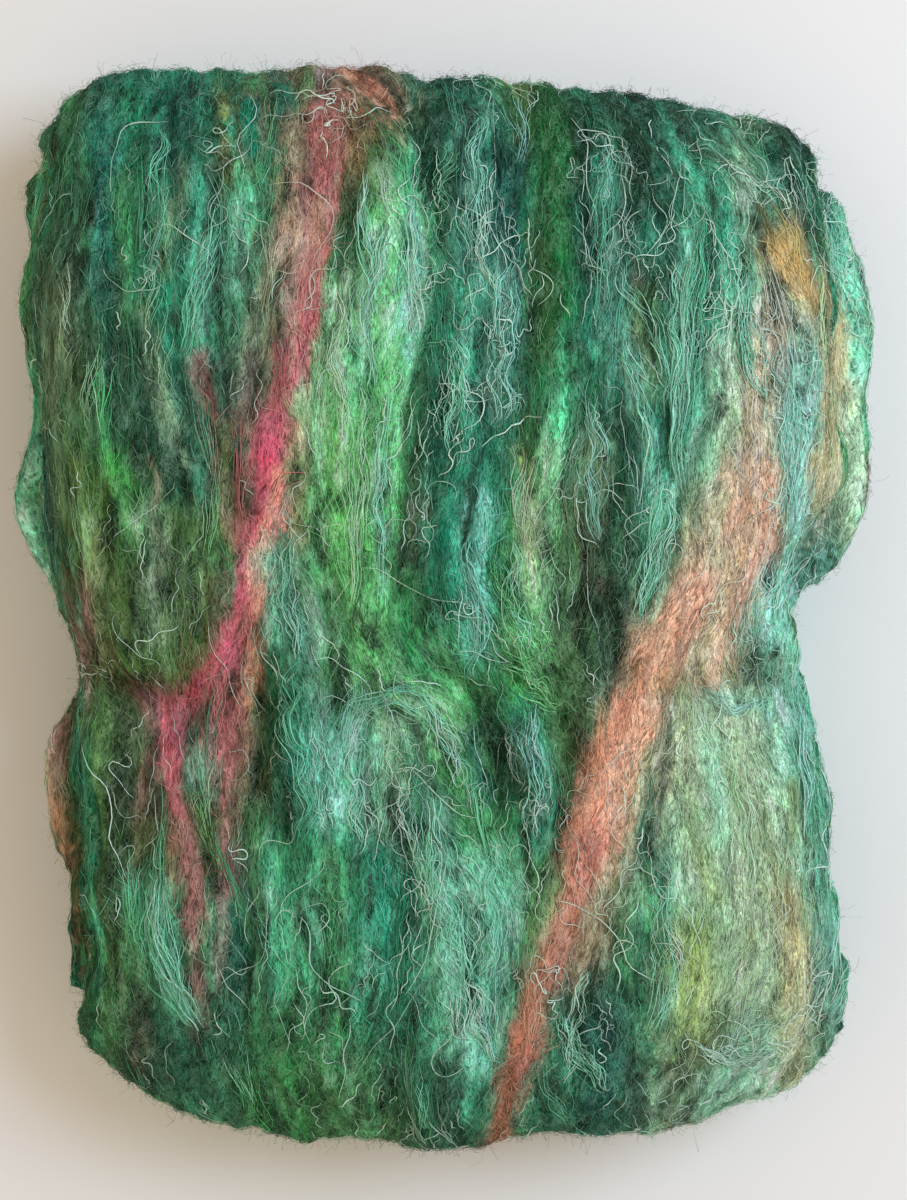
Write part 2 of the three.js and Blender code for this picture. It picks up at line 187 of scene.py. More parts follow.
STREAKS = rows_of(
    Streak,
    # the left edge and the slivers of the layer under it
    ("forest", 11, 0.8, (-92, 90), (-92, 72)),
    ("sage", 5, 0.9, (-98, 80), (-99, 62)),
    ("moss", 6, 0.6, (-98, 56), (-97, 42)),
    ("fern", 5, 0.6, (-84, 92), (-83, 62)),
    ("bark", 10, 0.5, (-88, 58), (-89, 38)),
    ("sage", 7, 0.35, (-90, 52), (-91, 14)),
    ("spruce", 7, 0.6, (-93, 66), (-94, 30)),
    ("olive", 10, 0.3, (-84, 24), (-80, 0), (-78, -10)),
    ("mint", 8, 0.95, (-97, 28), (-98, 18), (-93, 6)),
    ("mint", 3, 0.7, (-98, 24), (-96, 14)),
    ("teal", 5, 0.7, (-93, 30), (-92, 10)),
    ("mauve", 10, 0.85, (-84, 0), (-82, -12), (-87, -24)),
    # Shell and coral slivers: their own pink, made paler with painted light against the shade on the side.
    ("shell", 7, 0.95, (-91, -22), (-92, -44)),
    ("coral", 7, 0.95, (-88, -38), (-86, -54)),
    ("shell", 7, 0.95, (-88, -57), (-88, -74)),
    # the left lobe, back half
    ("deep_teal", 12, 0.8, (-78, 84), (-76, 30)),
    ("emerald", 7, 0.6, (-71, 92), (-70, 66)),
    ("fern", 5, 0.5, (-73, 78), (-72, 52)),
    ("jade", 4, 0.5, (-67, 88), (-66, 60)),
    ("deep_teal", 7, 0.8, (-61, 92), (-60, 58)),
    ("sage", 4, 0.5, (-59, 80), (-65, 62)),
    ("pine", 6, 0.9, (-57, 86), (-60, 62)),
    ("jade", 8, 0.95, (-53, 76), (-57, 58), (-60, 46)),
    ("mint", 4, 0.9, (-54, 68), (-57, 52)),
    ("sea", 9, 0.8, (-64, 56), (-62, 44)),
    ("pine", 6, 0.9, (-51, 82), (-52, 58)),
    ("olive", 4, 0.7, (-51, 93), (-49, 74)),
    ("sea_green", 8, 0.9, (-46, 76), (-48, 50)),
    ("spruce", 6, 0.7, (-36, 92), (-42, 74)),
    ("mint", 4, 0.8, (-46, 74), (-48, 58)),
    ("pine", 9, 0.6, (-66, 44), (-60, 36), (-55, 14)),
    ("pine", 7, 0.7, (-68, 44), (-68, 28)),
    ("spruce", 6, 0.6, (-66, 40), (-63, 20)),
    ("mauve", 5, 0.9, (-57, 45), (-54, 36), (-50, 22), (-47, 10)),
    ("terracotta", 3, 0.6, (-55, 38), (-51, 28)),
    ("sage", 3, 0.5, (-69, 54), (-66, 42), (-60, 26)),
    ("fern", 6, 0.6, (-80, 36), (-76, 24), (-71, 12)),
    ("leaf", 5, 0.7, (-75, 26), (-70, 8)),
    ("dark_olive", 6, 0.45, (-76, 10), (-73, -6)),
    ("tan", 3, 0.4, (-67, 26), (-65, -6)),
    ("moss", 8, 0.8, (-62, 16), (-60, -8)),
    ("moss", 7, 0.9, (-57, 14), (-54, -4), (-58, -14)),
    ("moss", 5, 0.6, (-50, 32), (-50, 8)),
    ("moss", 12, 0.6, (-69, 4), (-66, -12)),
    ("sage", 6, 0.5, (-68, 16), (-67, -6)),
    # Painted shadow under the overhanging lower edge of the left lobe.
    ("dark_olive", 6, 0.85, (-74, -15), (-60, -18)),
    # the rose band from the back curl to its fork, with the greys beside it
    ("mauve", 9, 0.5, (-39, 66), (-42, 50), (-45, 34)),
    ("sage", 3, 0.7, (-38, 66), (-43, 48)),
    ("dusty_rose", 4, 0.5, (-33, 78), (-39, 58)),
    ("brown", 13, 0.9, (-22, 99), (-14, 90)),
    ("terracotta", 7, 0.6, (-17, 97), (-14, 91)),
    ("brown", 8, 0.7, (-21, 90), (-19, 74)),
    ("mauve", 8, 0.8, (-27, 98), (-27, 88)),
    ("tan", 6, 0.6, (-34, 88), (-36, 66)),
    ("peach", 7, 0.8, (-35, 50), (-35, 12)),
    ("moss", 7, 0.6, (-33, 34), (-33, 2)),
    ("sage", 4, 0.7, (-36, 58), (-33, 36)),
    ("dusty_rose", 6, 0.9, (-28, 90), (-30, 72), (-34, 52), (-39, 34)),
    ("mauve", 2.5, 0.6, (-30, 84), (-33, 66), (-38, 46)),
    ("dusty_rose", 6, 1.0, (-25, 92), (-27, 76), (-31, 58), (-35, 42), (-39, 32)),
    ("brown", 6, 0.6, (-24, 92), (-26, 78)),
    ("rose", 3, 0.4, (-26, 80), (-27, 72), (-30, 58)),
    ("dusty_rose", 3, 0.6, (-33, 58), (-36, 46), (-39, 34)),
    ("terracotta", 3, 0.5, (-26, 76), (-30, 58), (-33, 44)),
    ("rose", 4, 0.7, (-30, 58), (-34, 46), (-39, 31)),
    ("tan", 2.5, 0.6, (-29, 74), (-33, 56), (-37, 42)),
    ("rose", 10, 1.0, (-39, 32), (-41, 20), (-43, 5), (-46, -7)),
    ("rose", 7, 1.0, (-46, -6), (-50, -13), (-56, -17), (-63, -20)),
    ("bark", 5, 0.6, (-52, 4), (-53, -9)),
    ("hot_rose", 5, 0.9, (-40, 29), (-41, 16)),
    ("hot_rose", 3.5, 0.8, (-45, 2), (-49, -8), (-58, -17)),
    ("coral", 4, 0.6, (-38, 24), (-42, 8), (-43, -8)),
    ("dusty_rose", 14, 0.8, (-50, -15), (-52, -26)),
    ("mauve", 12, 0.8, (-66, -18), (-68, -34), (-66, -44)),
    ("terracotta", 6, 0.8, (-44, -4), (-42, -18)),
    ("brown", 6, 0.5, (-45, -16), (-44, -34)),
    # Painted shadow: dark olive beside the curly lobe's left side.
    ("dark_olive", 6, 0.95, (-41, -20), (-41, -36)),
    ("dusty_rose", 7, 0.95, (-64, -19), (-64, -26), (-60, -36), (-58, -48)),
    ("rose", 3.5, 0.8, (-63, -19), (-63, -26), (-60, -38)),
    ("dusty_rose", 4.5, 0.85, (-58, -48), (-57, -62)),
    ("mauve", 3.5, 0.8, (-57, -60), (-56, -80)),
    ("dusty_rose", 6, 0.95, (-49, -18), (-50, -34), (-50, -52)),
    ("mauve", 4, 0.7, (-50, -48), (-51, -70)),
    ("jade", 5, 0.6, (-56, -28), (-55, -36)),
    ("moss", 6, 0.7, (-55, -36), (-54, -48)),
    # the lime stretch
    ("loden", 6, 0.95, (-16, 82), (-19, 68)),
    ("moss", 4, 0.7, (-16, 83), (-12, 72)),
    ("sage", 4, 0.7, (-14, 80), (-12, 70)),
    ("lime", 15, 0.95, (-12, 70), (-15, 42), (-18, 20)),
    ("mint", 5, 0.8, (-8, 74), (-7, 52)),
    ("pale_mint", 3, 0.6, (-14, 68), (-18, 54)),
    ("pine", 6, 0.9, (-19, 72), (-21, 56)),
    ("jade", 5, 0.5, (-19, 50), (-19, 34)),
    ("pale_lime", 8, 0.85, (-24, 58), (-26, 28)),
    ("lime", 15, 0.95, (-22, 36), (-21, 10), (-20, -12)),
    ("lime", 9, 0.9, (-22, 28), (-22, 2)),
    ("spring", 13, 0.85, (-20, 28), (-20, 8)),
    ("sea_green", 6, 0.7, (-20, 48), (-20, 38)),
    ("spring", 9, 0.8, (-18, 6), (-16, -12)),
    ("mint", 3, 0.5, (-14, 32), (-15, 0)),
    ("fern", 6, 0.6, (-27, 20), (-27, -8)),
    ("mint", 9, 0.9, (-38, 8), (-35, -2), (-32, -12)),
    ("lime", 9, 0.8, (-19, 2), (-17, -12)),
    # the dark teal stretch
    ("pine", 12, 0.95, (0, 99), (-1, 76)),
    ("aqua", 8, 0.45, (7, 88), (6, 62)),
    ("jade", 3.5, 0.55, (9, 92), (8, 66)),
    ("mint", 5, 0.8, (-6, 66), (-8, 46)),
    ("jade", 7, 0.6, (5, 58), (6, 30)),
    ("pine", 6, 0.6, (10, 44), (9, 20)),
    ("deep_teal", 9, 0.95, (15, 84), (15, 66)),
    ("aqua", 6, 0.5, (14, 60), (13, 36)),
    ("aqua", 3, 0.5, (15, 58), (14, 40)),
    ("deep_teal", 6, 0.7, (17, 64), (19, 48)),
    ("spruce", 8, 0.8, (17, 48), (17, 28)),
    ("sea", 9, 0.7, (10, 30), (8, 8), (8, -10)),
    ("aqua", 5, 0.6, (8, 20), (7, 4), (9, -8)),
    ("mauve", 5, 0.35, (-6, 18), (-7, 8)),
    ("forest", 8, 0.85, (-8, 4), (-7, -12)),
    # the green band
    ("moss", 8, 0.75, (16, 97), (19, 86)),
    ("chartreuse", 5, 0.6, (14, 97), (17, 94)),
    ("forest", 9, 0.85, (24, 96), (24, 66), (24, 44)),
    ("forest", 8, 0.97, (28, 88), (28, 54)),
    ("moss", 4, 0.6, (22, 66), (23, 46)),
    ("forest", 6, 0.7, (20, 58), (22, 40)),
    ("sea_green", 8, 0.7, (28, 44), (26, 18)),
    ("chartreuse", 3.5, 0.7, (18, 28), (20, 8)),
    ("pale_lime", 3, 0.5, (24, 30), (25, 14)),
    ("sage", 5, 0.6, (19, 20), (21, 2)),
    ("moss", 7, 0.7, (29, 20), (31, -6)),
    ("lime", 9, 0.75, (17, -6), (22, -12), (28, -17)),
    ("fern", 6, 0.7, (19, -16), (23, -20)),
    ("moss", 9, 0.75, (29, -8), (28, -28)),
    ("loden", 7, 0.9, (34, 2), (33, -18)),
    ("loden", 9, 0.95, (31, -22), (28, -48)),
    ("brown", 5, 0.8, (35, -27), (31, -42)),
    ("leaf", 6, 0.7, (16, -14), (18, -27)),
    # the teal and mint stretch to the right of it
    ("pine", 6, 0.9, (31, 92), (31, 60)),
    ("sea", 7, 0.75, (36, 80), (36, 54)),
    ("aqua", 6, 0.6, (38, 78), (38, 50)),
    ("pine", 12, 0.9, (42, 94), (46, 74)),
    ("jade", 5, 0.6, (34, 48), (36, 30)),
    ("pine", 10, 0.95, (53, 84), (51, 58)),
    ("jade", 3, 0.6, (51, 88), (57, 76)),
    ("mauve", 6, 0.4, (44, 60), (46, 46)),
    ("moss", 6, 0.75, (46, 56), (48, 38)),
    ("aqua", 4, 0.6, (40, 50), (43, 38), (48, 22)),
    ("pine", 13, 0.98, (42, 32), (41, 8), (39, -11)),
    ("bark", 5, 0.6, (31, 16), (33, 4)),
    ("sage", 6, 0.6, (34, 30), (34, 14)),
    ("jade", 9, 0.8, (60, 72), (57, 50), (55, 26)),
    ("mint", 4, 0.7, (58, 68), (54, 54), (54, 34)),
    ("teal", 6, 0.7, (64, 72), (63, 56)),
    ("sage", 6, 0.4, (70, 86), (70, 60)),
    ("sage", 4, 0.4, (68, 88), (68, 74)),
    ("jade", 7, 0.7, (67, 66), (67, 46)),
    ("sage", 8, 0.5, (64, 46), (60, 22)),
    ("mint", 4, 0.8, (53, 24), (49, 8), (47, -2)),
    ("jade", 5, 0.7, (58, 24), (53, 10)),
    # the back right corner and the lobe of the layer under it
    ("night", 16, 0.9, (78, 90), (85, 76)),
    ("spruce", 8, 0.7, (72, 84), (80, 72)),
    ("spruce", 10, 0.7, (74, 72), (73, 54)),
    ("pine", 8, 0.9, (81, 80), (85, 66)),
    ("pine", 9, 0.9, (84, 85), (88, 74)),
    ("ochre", 11, 0.95, (78, 65), (82, 59)),
    ("ochre", 8, 0.95, (82, 61), (88, 50)),
    ("ochre", 9, 1.0, (88, 54), (89, 44), (89, 34), (87, 24)),
    ("straw", 7, 0.85, (88, 30), (84, 12)),
    # Painted light: cream lightens the right slope, which lies in shade.
    ("cream", 7, 0.85, (89, 50), (88, 22)),
    ("sage", 9, 0.5, (72, 54), (80, 52)),
    ("aqua", 6, 0.85, (83, 50), (81, 34), (82, 14)),
    ("aqua", 3, 0.6, (84, 48), (84, 30)),
    ("mint", 11, 1.0, (91, 84), (95, 62), (98, 44), (97, 18)),
    ("straw", 3, 0.6, (93, 76), (97, 62)),
    ("pale_sage", 9, 0.8, (95, 38), (93, 14)),
    ("aqua", 9, 0.7, (88, 10), (80, 3)),
    # the salmon band and its second strip
    ("peach", 13, 0.85, (75, 50), (70, 32), (66, 18)),
    ("sage", 8, 0.7, (67, 48), (66, 30)),
    ("peach", 8, 0.7, (70, 24), (68, 8)),
    ("sage", 8, 0.7, (58, 22), (62, 8)),
    ("sage", 14, 0.75, (62, 6), (56, -14), (50, -26)),
    ("blush", 12, 0.97, (66, 17), (60, 6), (56, 0), (51, -8)),
    ("blush", 8, 0.97, (74, 24), (71, 6), (65, -6), (61, -15)),
    ("coral", 9, 0.8, (53, -4), (47, -15), (42, -24)),
    ("coral", 12, 1.0, (44, -20), (41, -27), (37, -37), (33, -47)),
    ("blush", 4, 0.4, (41, -28), (36, -40)),
    ("tan", 9, 0.6, (43, -38), (37, -56), (31, -68)),
    ("terracotta", 10, 0.95, (34, -44), (28, -57), (24, -67)),
    ("terracotta", 7.5, 1.0, (24, -66), (19, -79), (15, -88)),
    ("brown", 7, 0.4, (28, -58), (19, -79)),
    ("brown", 6, 1.0, (15, -87), (10, -101)),
    ("sage", 6, 0.6, (64, 20), (62, 8)),
    ("coral", 4, 0.3, (31, -50), (24, -67), (18, -82)),
    ("brown", 7, 0.5, (52, -20), (49, -34)),
    # the waist and the pocket at its right
    ("aqua", 9, 0.85, (76, 4), (73, -8)),
    # Painted shade: pine darkens the inside of the pocket.
    ("pine", 9, 0.85, (73, -12), (77, -15)),
    ("olive", 5, 0.6, (69, -10), (71, -17)),
    ("aqua", 5, 0.8, (62, -17), (74, -20)),
    ("mint", 11, 0.9, (80, -4), (82, -18), (85, -32), (87, -54)),
    # the curly lobe, the swirl and the hollow
    ("emerald", 9, 0.9, (-38, -10), (-39, -22)),
    ("sea", 10, 0.7, (-33, -14), (-32, -22)),
    ("emerald", 8, 0.9, (-37, -24), (-33, -38)),
    ("deep_teal", 8, 0.9, (-34, -28), (-33, -42)),
    # Mint fibre on the lobe's right side; its brightness there is partly a painted highlight.
    ("mint", 6, 0.85, (-29, -16), (-28, -28), (-26, -38)),
    ("fern", 12, 0.8, (-26, -14), (-12, -17)),
    ("lime", 9, 0.7, (-14, -14), (-2, -20), (3, -28)),
    ("mint", 7, 0.8, (-21, -22), (-21, -38)),
    ("sage", 14, 0.6, (-13, -22), (-13, -38)),
    ("mint", 7, 0.7, (-17, -27), (-17, -40)),
    ("pale_lime", 5, 0.9, (-5, -18), (1, -25)),
    ("fern", 10, 0.8, (1, -26), (6, -42), (14, -50)),
    # The hollow: forest green fibre, with painted shade from the darkest dye in its deepest part.
    ("forest", 10, 0.95, (9, -18), (13, -30), (16, -40)),
    ("night", 6, 0.98, (10, -23), (14, -35)),
    ("sea", 8, 0.8, (17, -20), (21, -30), (21, -44)),
    ("aqua", 4, 0.7, (20, -26), (22, -38)),
    ("pine", 9, 0.97, (-9, -38), (-3, -50)),
    ("mint", 4, 0.7, (-1, -36), (2, -48)),
    # the front left lobe
    ("moss", 14, 0.9, (-81, -23), (-80, -42)),
    ("emerald", 4, 0.6, (-84, -30), (-83, -44)),
    ("loden", 8, 0.9, (-73, -22), (-73, -50)),
    ("loden", 12, 0.8, (-77, -48), (-75, -68)),
    ("moss", 7, 0.6, (-83, -50), (-82, -66)),
    ("emerald", 8, 0.6, (-84, -70), (-78, -84)),
    ("bark", 6, 0.85, (-69, -36), (-69, -88)),
    ("moss", 7, 0.8, (-66, -42), (-66, -54)),
    ("jade", 8, 0.85, (-68, -54), (-66, -68), (-62, -76)),
    ("fern", 4, 0.6, (-72, -54), (-71, -70)),
    ("mint", 3.5, 0.8, (-65, -54), (-64, -66), (-58, -76)),
    ("pine", 9, 0.8, (-67, -76), (-64, -86)),
    # the front middle
    ("moss", 7, 0.6, (-44, -38), (-42, -58)),
    ("jade", 6, 0.5, (-38, -48), (-38, -70)),
    ("deep_teal", 6, 0.8, (-48, -56), (-47, -76)),
    ("fern", 7, 0.6, (-26, -46), (-24, -76)),
    ("jade", 5, 0.5, (-18, -44), (-18, -78)),
    ("spruce", 16, 0.9, (-56, -82), (-55, -98)),
    ("forest", 24, 0.75, (-34, -84), (-33, -98)),
    ("loden", 18, 0.5, (-15, -86), (-14, -98)),
    ("pine", 7, 0.97, (-3, -60), (-2, -74)),
    ("mint", 9, 0.85, (-3, -48), (1, -58), (2, -70), (6, -84)),
    ("mint", 8, 0.7, (9, -50), (11, -66), (10, -78)),
    ("teal", 4, 0.7, (5, -60), (6, -74)),
    ("pine", 9, 0.8, (1, -84), (2, -100)),
    ("mint", 8, 0.5, (13, -46), (15, -62)),
    # the front right
    ("fern", 6, 0.7, (23, -50), (19, -64)),
    ("mint", 6, 0.6, (16, -52), (15, -68)),
    ("tan", 7, 0.3, (56, -24), (57, -40)),
    ("pale_sage", 16, 0.9, (66, -22), (71, -50)),
    ("mint", 5, 0.4, (62, -26), (63, -44)),
    ("jade", 9, 0.7, (48, -48), (50, -64)),
    ("sea", 8, 0.6, (46, -60), (46, -84)),
    ("chartreuse", 5, 0.6, (59, -46), (62, -54)),
    ("fern", 8, 0.5, (41, -54), (42, -68)),
    ("chartreuse", 12, 0.85, (57, -62), (58, -82)),
    ("olive", 9, 0.8, (57, -84), (55, -96)),
    ("olive", 6, 0.8, (80, -34), (81, -44)),
    ("sage", 7, 0.6, (82, -46), (80, -58)),
    ("pale_sage", 11, 0.85, (71, -50), (69, -74)),
    ("straw", 8, 0.85, (79, -54), (81, -70), (79, -86)),
    ("amber", 4, 1.0, (90, -30), (91, -44)),
    ("mint", 6, 0.5, (91, -50), (90, -70)),
    ("aqua", 6, 0.4, (90, -62), (88, -80)),
    ("mauve", 3, 0.3, (89, -66), (88, -76)),
    ("sea", 9, 0.6, (85, -84), (78, -92)),
    ("deep_teal", 14, 0.8, (34, -76), (40, -96)),
    ("spruce", 8, 0.6, (26, -74), (24, -92)),
    ("aqua", 16, 0.5, (72, -80), (60, -92)),
)

# How strongly the fibres keep to the straight way round the roll, against 1 for a streak that
# covers fully and more for a current, and how far either reaches, as a share of its breadth
STRAIGHT_PULL = 0.35
CURRENT_PULL = 2.2
GUIDE_REACH = 0.8

# Where the fibres leave the straight way round, besides along the streaks
CURRENTS = rows_of(
    Guide,
    (12, 1.0, (-22, 12), (-20, -4), (-10, -13), (4, -17)),
    (9, 0.7, (-26, -42), (-23, -24), (-14, -16), (-4, -18), (4, -27), (8, -44)),
    (7, 1.0, (-38, -11), (-34, -17), (-36, -27), (-30, -35), (-32, -44)),
    (12, 1.0, (8, 0), (14, -7), (22, -14), (30, -18)),
    (14, 1.0, (-80, 20), (-76, 0), (-70, -12), (-63, -18)),
    (12, 0.9, (-52, 0), (-56, -10), (-62, -18)),
    (12, 0.9, (-86, -2), (-80, -12), (-70, -18)),
    (12, 0.9, (-64, -20), (-70, -32), (-71, -50)),
    (10, 0.8, (60, -16), (70, -19), (84, -14)),
    (10, 0.8, (46, 88), (56, 78), (60, 66)),
    (10, 0.8, (66, 90), (76, 78), (84, 68)),
    (14, 0.9, (66, -18), (72, -40), (74, -64), (66, -90)),
    (14, 0.7, (84, 30), (83, 12), (76, 0), (78, -16)),
)

# Smooth felted bands, with few loose threads and little mottling
FELTED = rows_of(
    Guide,
    (13, 1.0, (66, 16), (56, 0), (46, -17), (37, -37), (33, -47)),
    (9, 1.0, (33, -47), (24, -67), (10, -100)),
    (8, 0.8, (74, 20), (68, 2), (61, -15)),
    (9, 1.0, (-25, 92), (-31, 58), (-38, 32), (-41, 20), (-44, 5), (-60, -18)),
    (5, 0.9, (-63, -20), (-60, -40), (-57, -60)),
    (8, 0.8, (79, 66), (88, 50), (86, 20)),
    (7, 0.6, (25, 96), (25, 50)),
    (11, 0.8, (92, 80), (96, 50), (95, 14)),
    (9, 0.7, (79, -54), (81, -70), (79, -86)),
    (24, 0.7, (66, -22), (68, -74)),
)

# Glossy locks of dyed silk, each of some strands along a line
Lock = namedtuple("Lock", "dye breadth count wave line")
LOCKS = rows_of(
    Lock,
    ("jade", 6, 69, 0.6, (-52, 75), (-55, 62), (-60, 46)),
    ("mint", 3, 24, 0.4, (-54, 70), (-57, 50)),
    ("jade", 4, 30, 0.8, (-66, 90), (-66, 62)),
    ("mint", 7, 78, 0.7, (-66, -50), (-66, -62), (-63, -72), (-57, -80)),
    ("jade", 7, 51, 0.6, (-69, -52), (-67, -66), (-62, -76)),
    ("pale_mint", 4, 33, 0.5, (-8, 76), (-8, 62), (-5, 50)),
    ("mint", 5, 39, 0.9, (-14, 70), (-18, 54), (-17, 40)),
    ("mint", 4, 30, 0.6, (-12, 40), (-15, 20), (-14, 0)),
    ("jade", 6, 54, 0.9, (61, 74), (58, 58), (55, 40), (54, 26)),
    ("mint", 4, 33, 0.8, (54, 64), (53, 48), (51, 34)),
    ("sea", 6, 45, 0.8, (37, 86), (37, 66), (35, 48)),
    ("aqua", 5, 39, 0.8, (82, 52), (80, 34), (81, 12)),
    ("mint", 5, 39, 0.7, (52, 24), (49, 8), (44, -2)),
    ("aqua", 5, 45, 0.7, (19, -18), (22, -30), (21, -44)),
    ("slate", 5, 30, 0.7, (17, -20), (21, -34)),
    ("mint", 4, 36, 0.6, (-29, -20), (-27, -28), (-26, -36)),
    ("sea", 8, 33, 1.2, (-36, -10), (-33, -26), (-30, -40)),
    ("jade", 12, 36, 1.9, (-27, -36), (-23, -23), (-14, -15), (-4, -18), (4, -27), (8, -38)),
    ("jade", 6, 42, 1.3, (-37, -12), (-34, -22), (-31, -34), (-33, -44)),
    ("mint", 5, 54, 0.8, (2, 50), (3, 40), (1, 28)),
    ("pale_mint", 3, 27, 0.9, (10, 74), (9, 64), (12, 56)),
    ("mint", 4, 24, 0.9, (40, 64), (46, 54), (53, 40)),
    ("mint", 3, 33, 0.6, (41, 50), (45, 40), (48, 22)),
    ("mint", 4, 54, 0.7, (60, 72), (57, 60), (54, 50), (53, 20)),
    ("mint", 6, 54, 0.8, (70, 64), (69, 50), (72, 38)),
    ("aqua", 6, 51, 0.9, (76, 48), (78, 38), (80, 20)),
    ("mint", 5, 54, 0.8, (53, 20), (50, 8), (46, -2)),
    ("aqua", 5, 42, 0.9, (34, 38), (35, 26), (36, 12)),
    ("aqua", 5, 42, 1.0, (5, 14), (7, 2), (6, -14)),
    ("mint", 4, 33, 0.8, (16, 12), (16, 2), (20, -8)),
    ("lime", 5, 42, 0.8, (15, -10), (20, -16), (28, -18)),
    ("mint", 7, 84, 1.0, (0, -52), (2, -62), (4, -72)),
    ("mint", 6, 69, 1.0, (10, -48), (12, -58), (8, -70)),
    ("pale_mint", 6, 69, 1.0, (4, -70), (8, -78), (12, -86)),
    ("mint", 6, 54, 0.9, (26, -76), (30, -84), (38, -92)),
    ("pale_mint", 5, 42, 0.9, (58, -84), (68, -86), (78, -84)),
    ("mint", 4, 42, 0.9, (-16, 80), (-19, 66), (-16, 52)),
    ("pale_lime", 4, 42, 0.8, (-24, 58), (-25, 44), (-23, 30)),
    ("pale_lime", 6, 60, 0.7, (-18, 40), (-20, 20), (-20, 0)),
    ("mint", 4, 33, 0.7, (-20, -22), (-22, -34), (-21, -46)),
    ("pale_mint", 4, 30, 0.7, (-6, -16), (1, -24), (3, -34)),
    ("mint", 5, 42, 0.9, (-4, -36), (0, -46), (-3, -56)),
    ("mint", 5, 39, 0.9, (0, -52), (4, -66), (2, -80)),
    ("mint", 4, 27, 0.7, (-35, 14), (-37, 2), (-33, -10)),
    ("aqua", 6, 42, 0.9, (14, 64), (13, 48), (14, 34)),
    ("aqua", 5, 33, 0.8, (8, 92), (6, 76), (7, 62)),
    ("aqua", 5, 33, 0.7, (82, -8), (84, -24), (86, -44)),
    ("pale_mint", 4, 24, 0.7, (33, -68), (31, -80), (27, -90)),
    ("mint", 5, 36, 0.8, (49, -50), (52, -66), (48, -80)),
    ("pale_lime", 5, 33, 0.6, (67, -22), (71, -40), (72, -58)),
    ("aqua", 4, 27, 0.6, (58, -16), (68, -20), (80, -18)),
)

# Small knots of curly silk thread
Tangle = namedtuple("Tangle", "across along radius count")
TANGLES = [
    Tangle(-26, 93, 6, 16),
    Tangle(-7, 55, 5, 7),
    Tangle(14, 51, 7, 10),
    Tangle(13, 40, 6, 9),
    Tangle(31, 23, 5, 5),
    Tangle(5, 0, 4, 5),
    Tangle(63, -21, 5, 5),
    Tangle(80, 34, 6, 9),
    Tangle(78, 20, 5, 6),
    Tangle(82, 48, 5, 5),
    Tangle(23, -72, 6, 8),
    Tangle(20, -38, 5, 6),
    Tangle(34, 84, 7, 6),
    Tangle(50, 80, 8, 4),
    Tangle(-66, 62, 5, 5),
    Tangle(-12, -32, 8, 10),
    Tangle(-80, -13, 5, 8),
    Tangle(36, -78, 5, 4),
    Tangle(66, -82, 8, 8),
    Tangle(74, 78, 8, 5),
    Tangle(44, 62, 6, 4),
    Tangle(-48, 84, 6, 5),
]


def linear(hex_text):
    """The linear colour of an sRGB hex value."""
    parts = [int(hex_text[k:k + 2], 16) / 255 for k in (1, 3, 5)]
    return tuple(c / 12.92 if c <= 0.04045 else ((c + 0.055) / 1.055) ** 2.4 for c in parts)


def limited(colour):
    """A colour that a fibre can have. What is over the brightest half pales and half keeps its
    hue."""
    pure = colour * np.minimum(1, BRIGHTEST / colour.max(-1, keepdims=True))
    return np.maximum(0.5 * pure + 0.5 * np.minimum(colour, BRIGHTEST), DARKEST)


def dye_colour(name):
    """A dye's linear colour, brighter and purer, as fibre lies in the shade of paler hairs."""
    own = 1.7 * np.array(linear(DYES[name])) ** 1.25 * (1, 1, 1.06)
    return np.maximum(own.mean() + (own - own.mean()) * 1.06, DARKEST)


def paler(own, share):
    """A dye as it looks on hairs that catch the light: brighter, and share of it bleached."""
    grey = own @ np.array([0.2126, 0.7152, 0.0722])
    bright = own * (1 + 1.4 * share) + 0.3 * grey[:, None] * share
    return bright / (1 + 0.8 * share * bright)


def glint(own, share):
    """A dye on a single hair that catches the light: up to a third of it is the light's own white."""
    glow = 0.5 * own / own.max(1, keepdims=True) + 0.42
    own = own * (1 + 1.1 * share)
    mixed = own + (glow - own) * 0.34 * share ** 2
    return mixed / (1 + 0.5 * share * mixed)


def placed(line):
    """The x and y of places in percent, where they lie on the upper face."""
    eye = np.array(EYE[:2])
    nearer = (EYE.z - TRUE_HEIGHT) / (EYE.z - CURL_MIDDLE - HALF_THICKNESS)
    return eye + (np.array(line) / 100 * (HALF_WIDTH, HALF_LENGTH) - eye) / nearer


def ramp(value, low, high):
    """0 below low, 1 above high and smooth between them."""
    share = np.clip((value - low) / (high - low), 0, 1)
    return share * share * (3 - 2 * share)


class Grain:
    """Smooth random values over a plane, from -1 to 1, the same each time for one seed."""

    SIDE = 256

    def __init__(self, seed):
        self.lattice = np.random.default_rng(seed).uniform(-1, 1, (self.SIDE, self.SIDE))

    def __call__(self, u, v):
        column, row = np.floor(u).astype(int), np.floor(v).astype(int)
        s, t = ramp(u - column, 0, 1), ramp(v - row, 0, 1)
        c0, c1 = column % self.SIDE, (column + 1) % self.SIDE
        r0, r1 = row % self.SIDE, (row + 1) % self.SIDE
        near = self.lattice[c0, r0] * (1 - s) + self.lattice[c1, r0] * s
        far = self.lattice[c0, r1] * (1 - s) + self.lattice[c1, r1] * s
        return near * (1 - t) + far * t


def to_line(points, line):
    """How far points lie from a line in percent, in metres, and the line's angle from +Y there."""
    ends = np.array([(a / 100 * HALF_WIDTH, b / 100 * HALF_LENGTH) for a, b in line])
    best = np.full(len(points), np.inf)
    angle = np.zeros(len(points))
    for start, end in zip(ends[:-1], ends[1:]):
        run = end - start
        share = np.clip((points - start) @ run / (run @ run), 0, 1)
        gap = np.linalg.norm(points - start - share[:, None] * run, axis=1)
        nearer = gap < best
        best = np.where(nearer, gap, best)
        angle = np.where(nearer, math.atan2(run[0], run[1]), angle)
    return best, angle


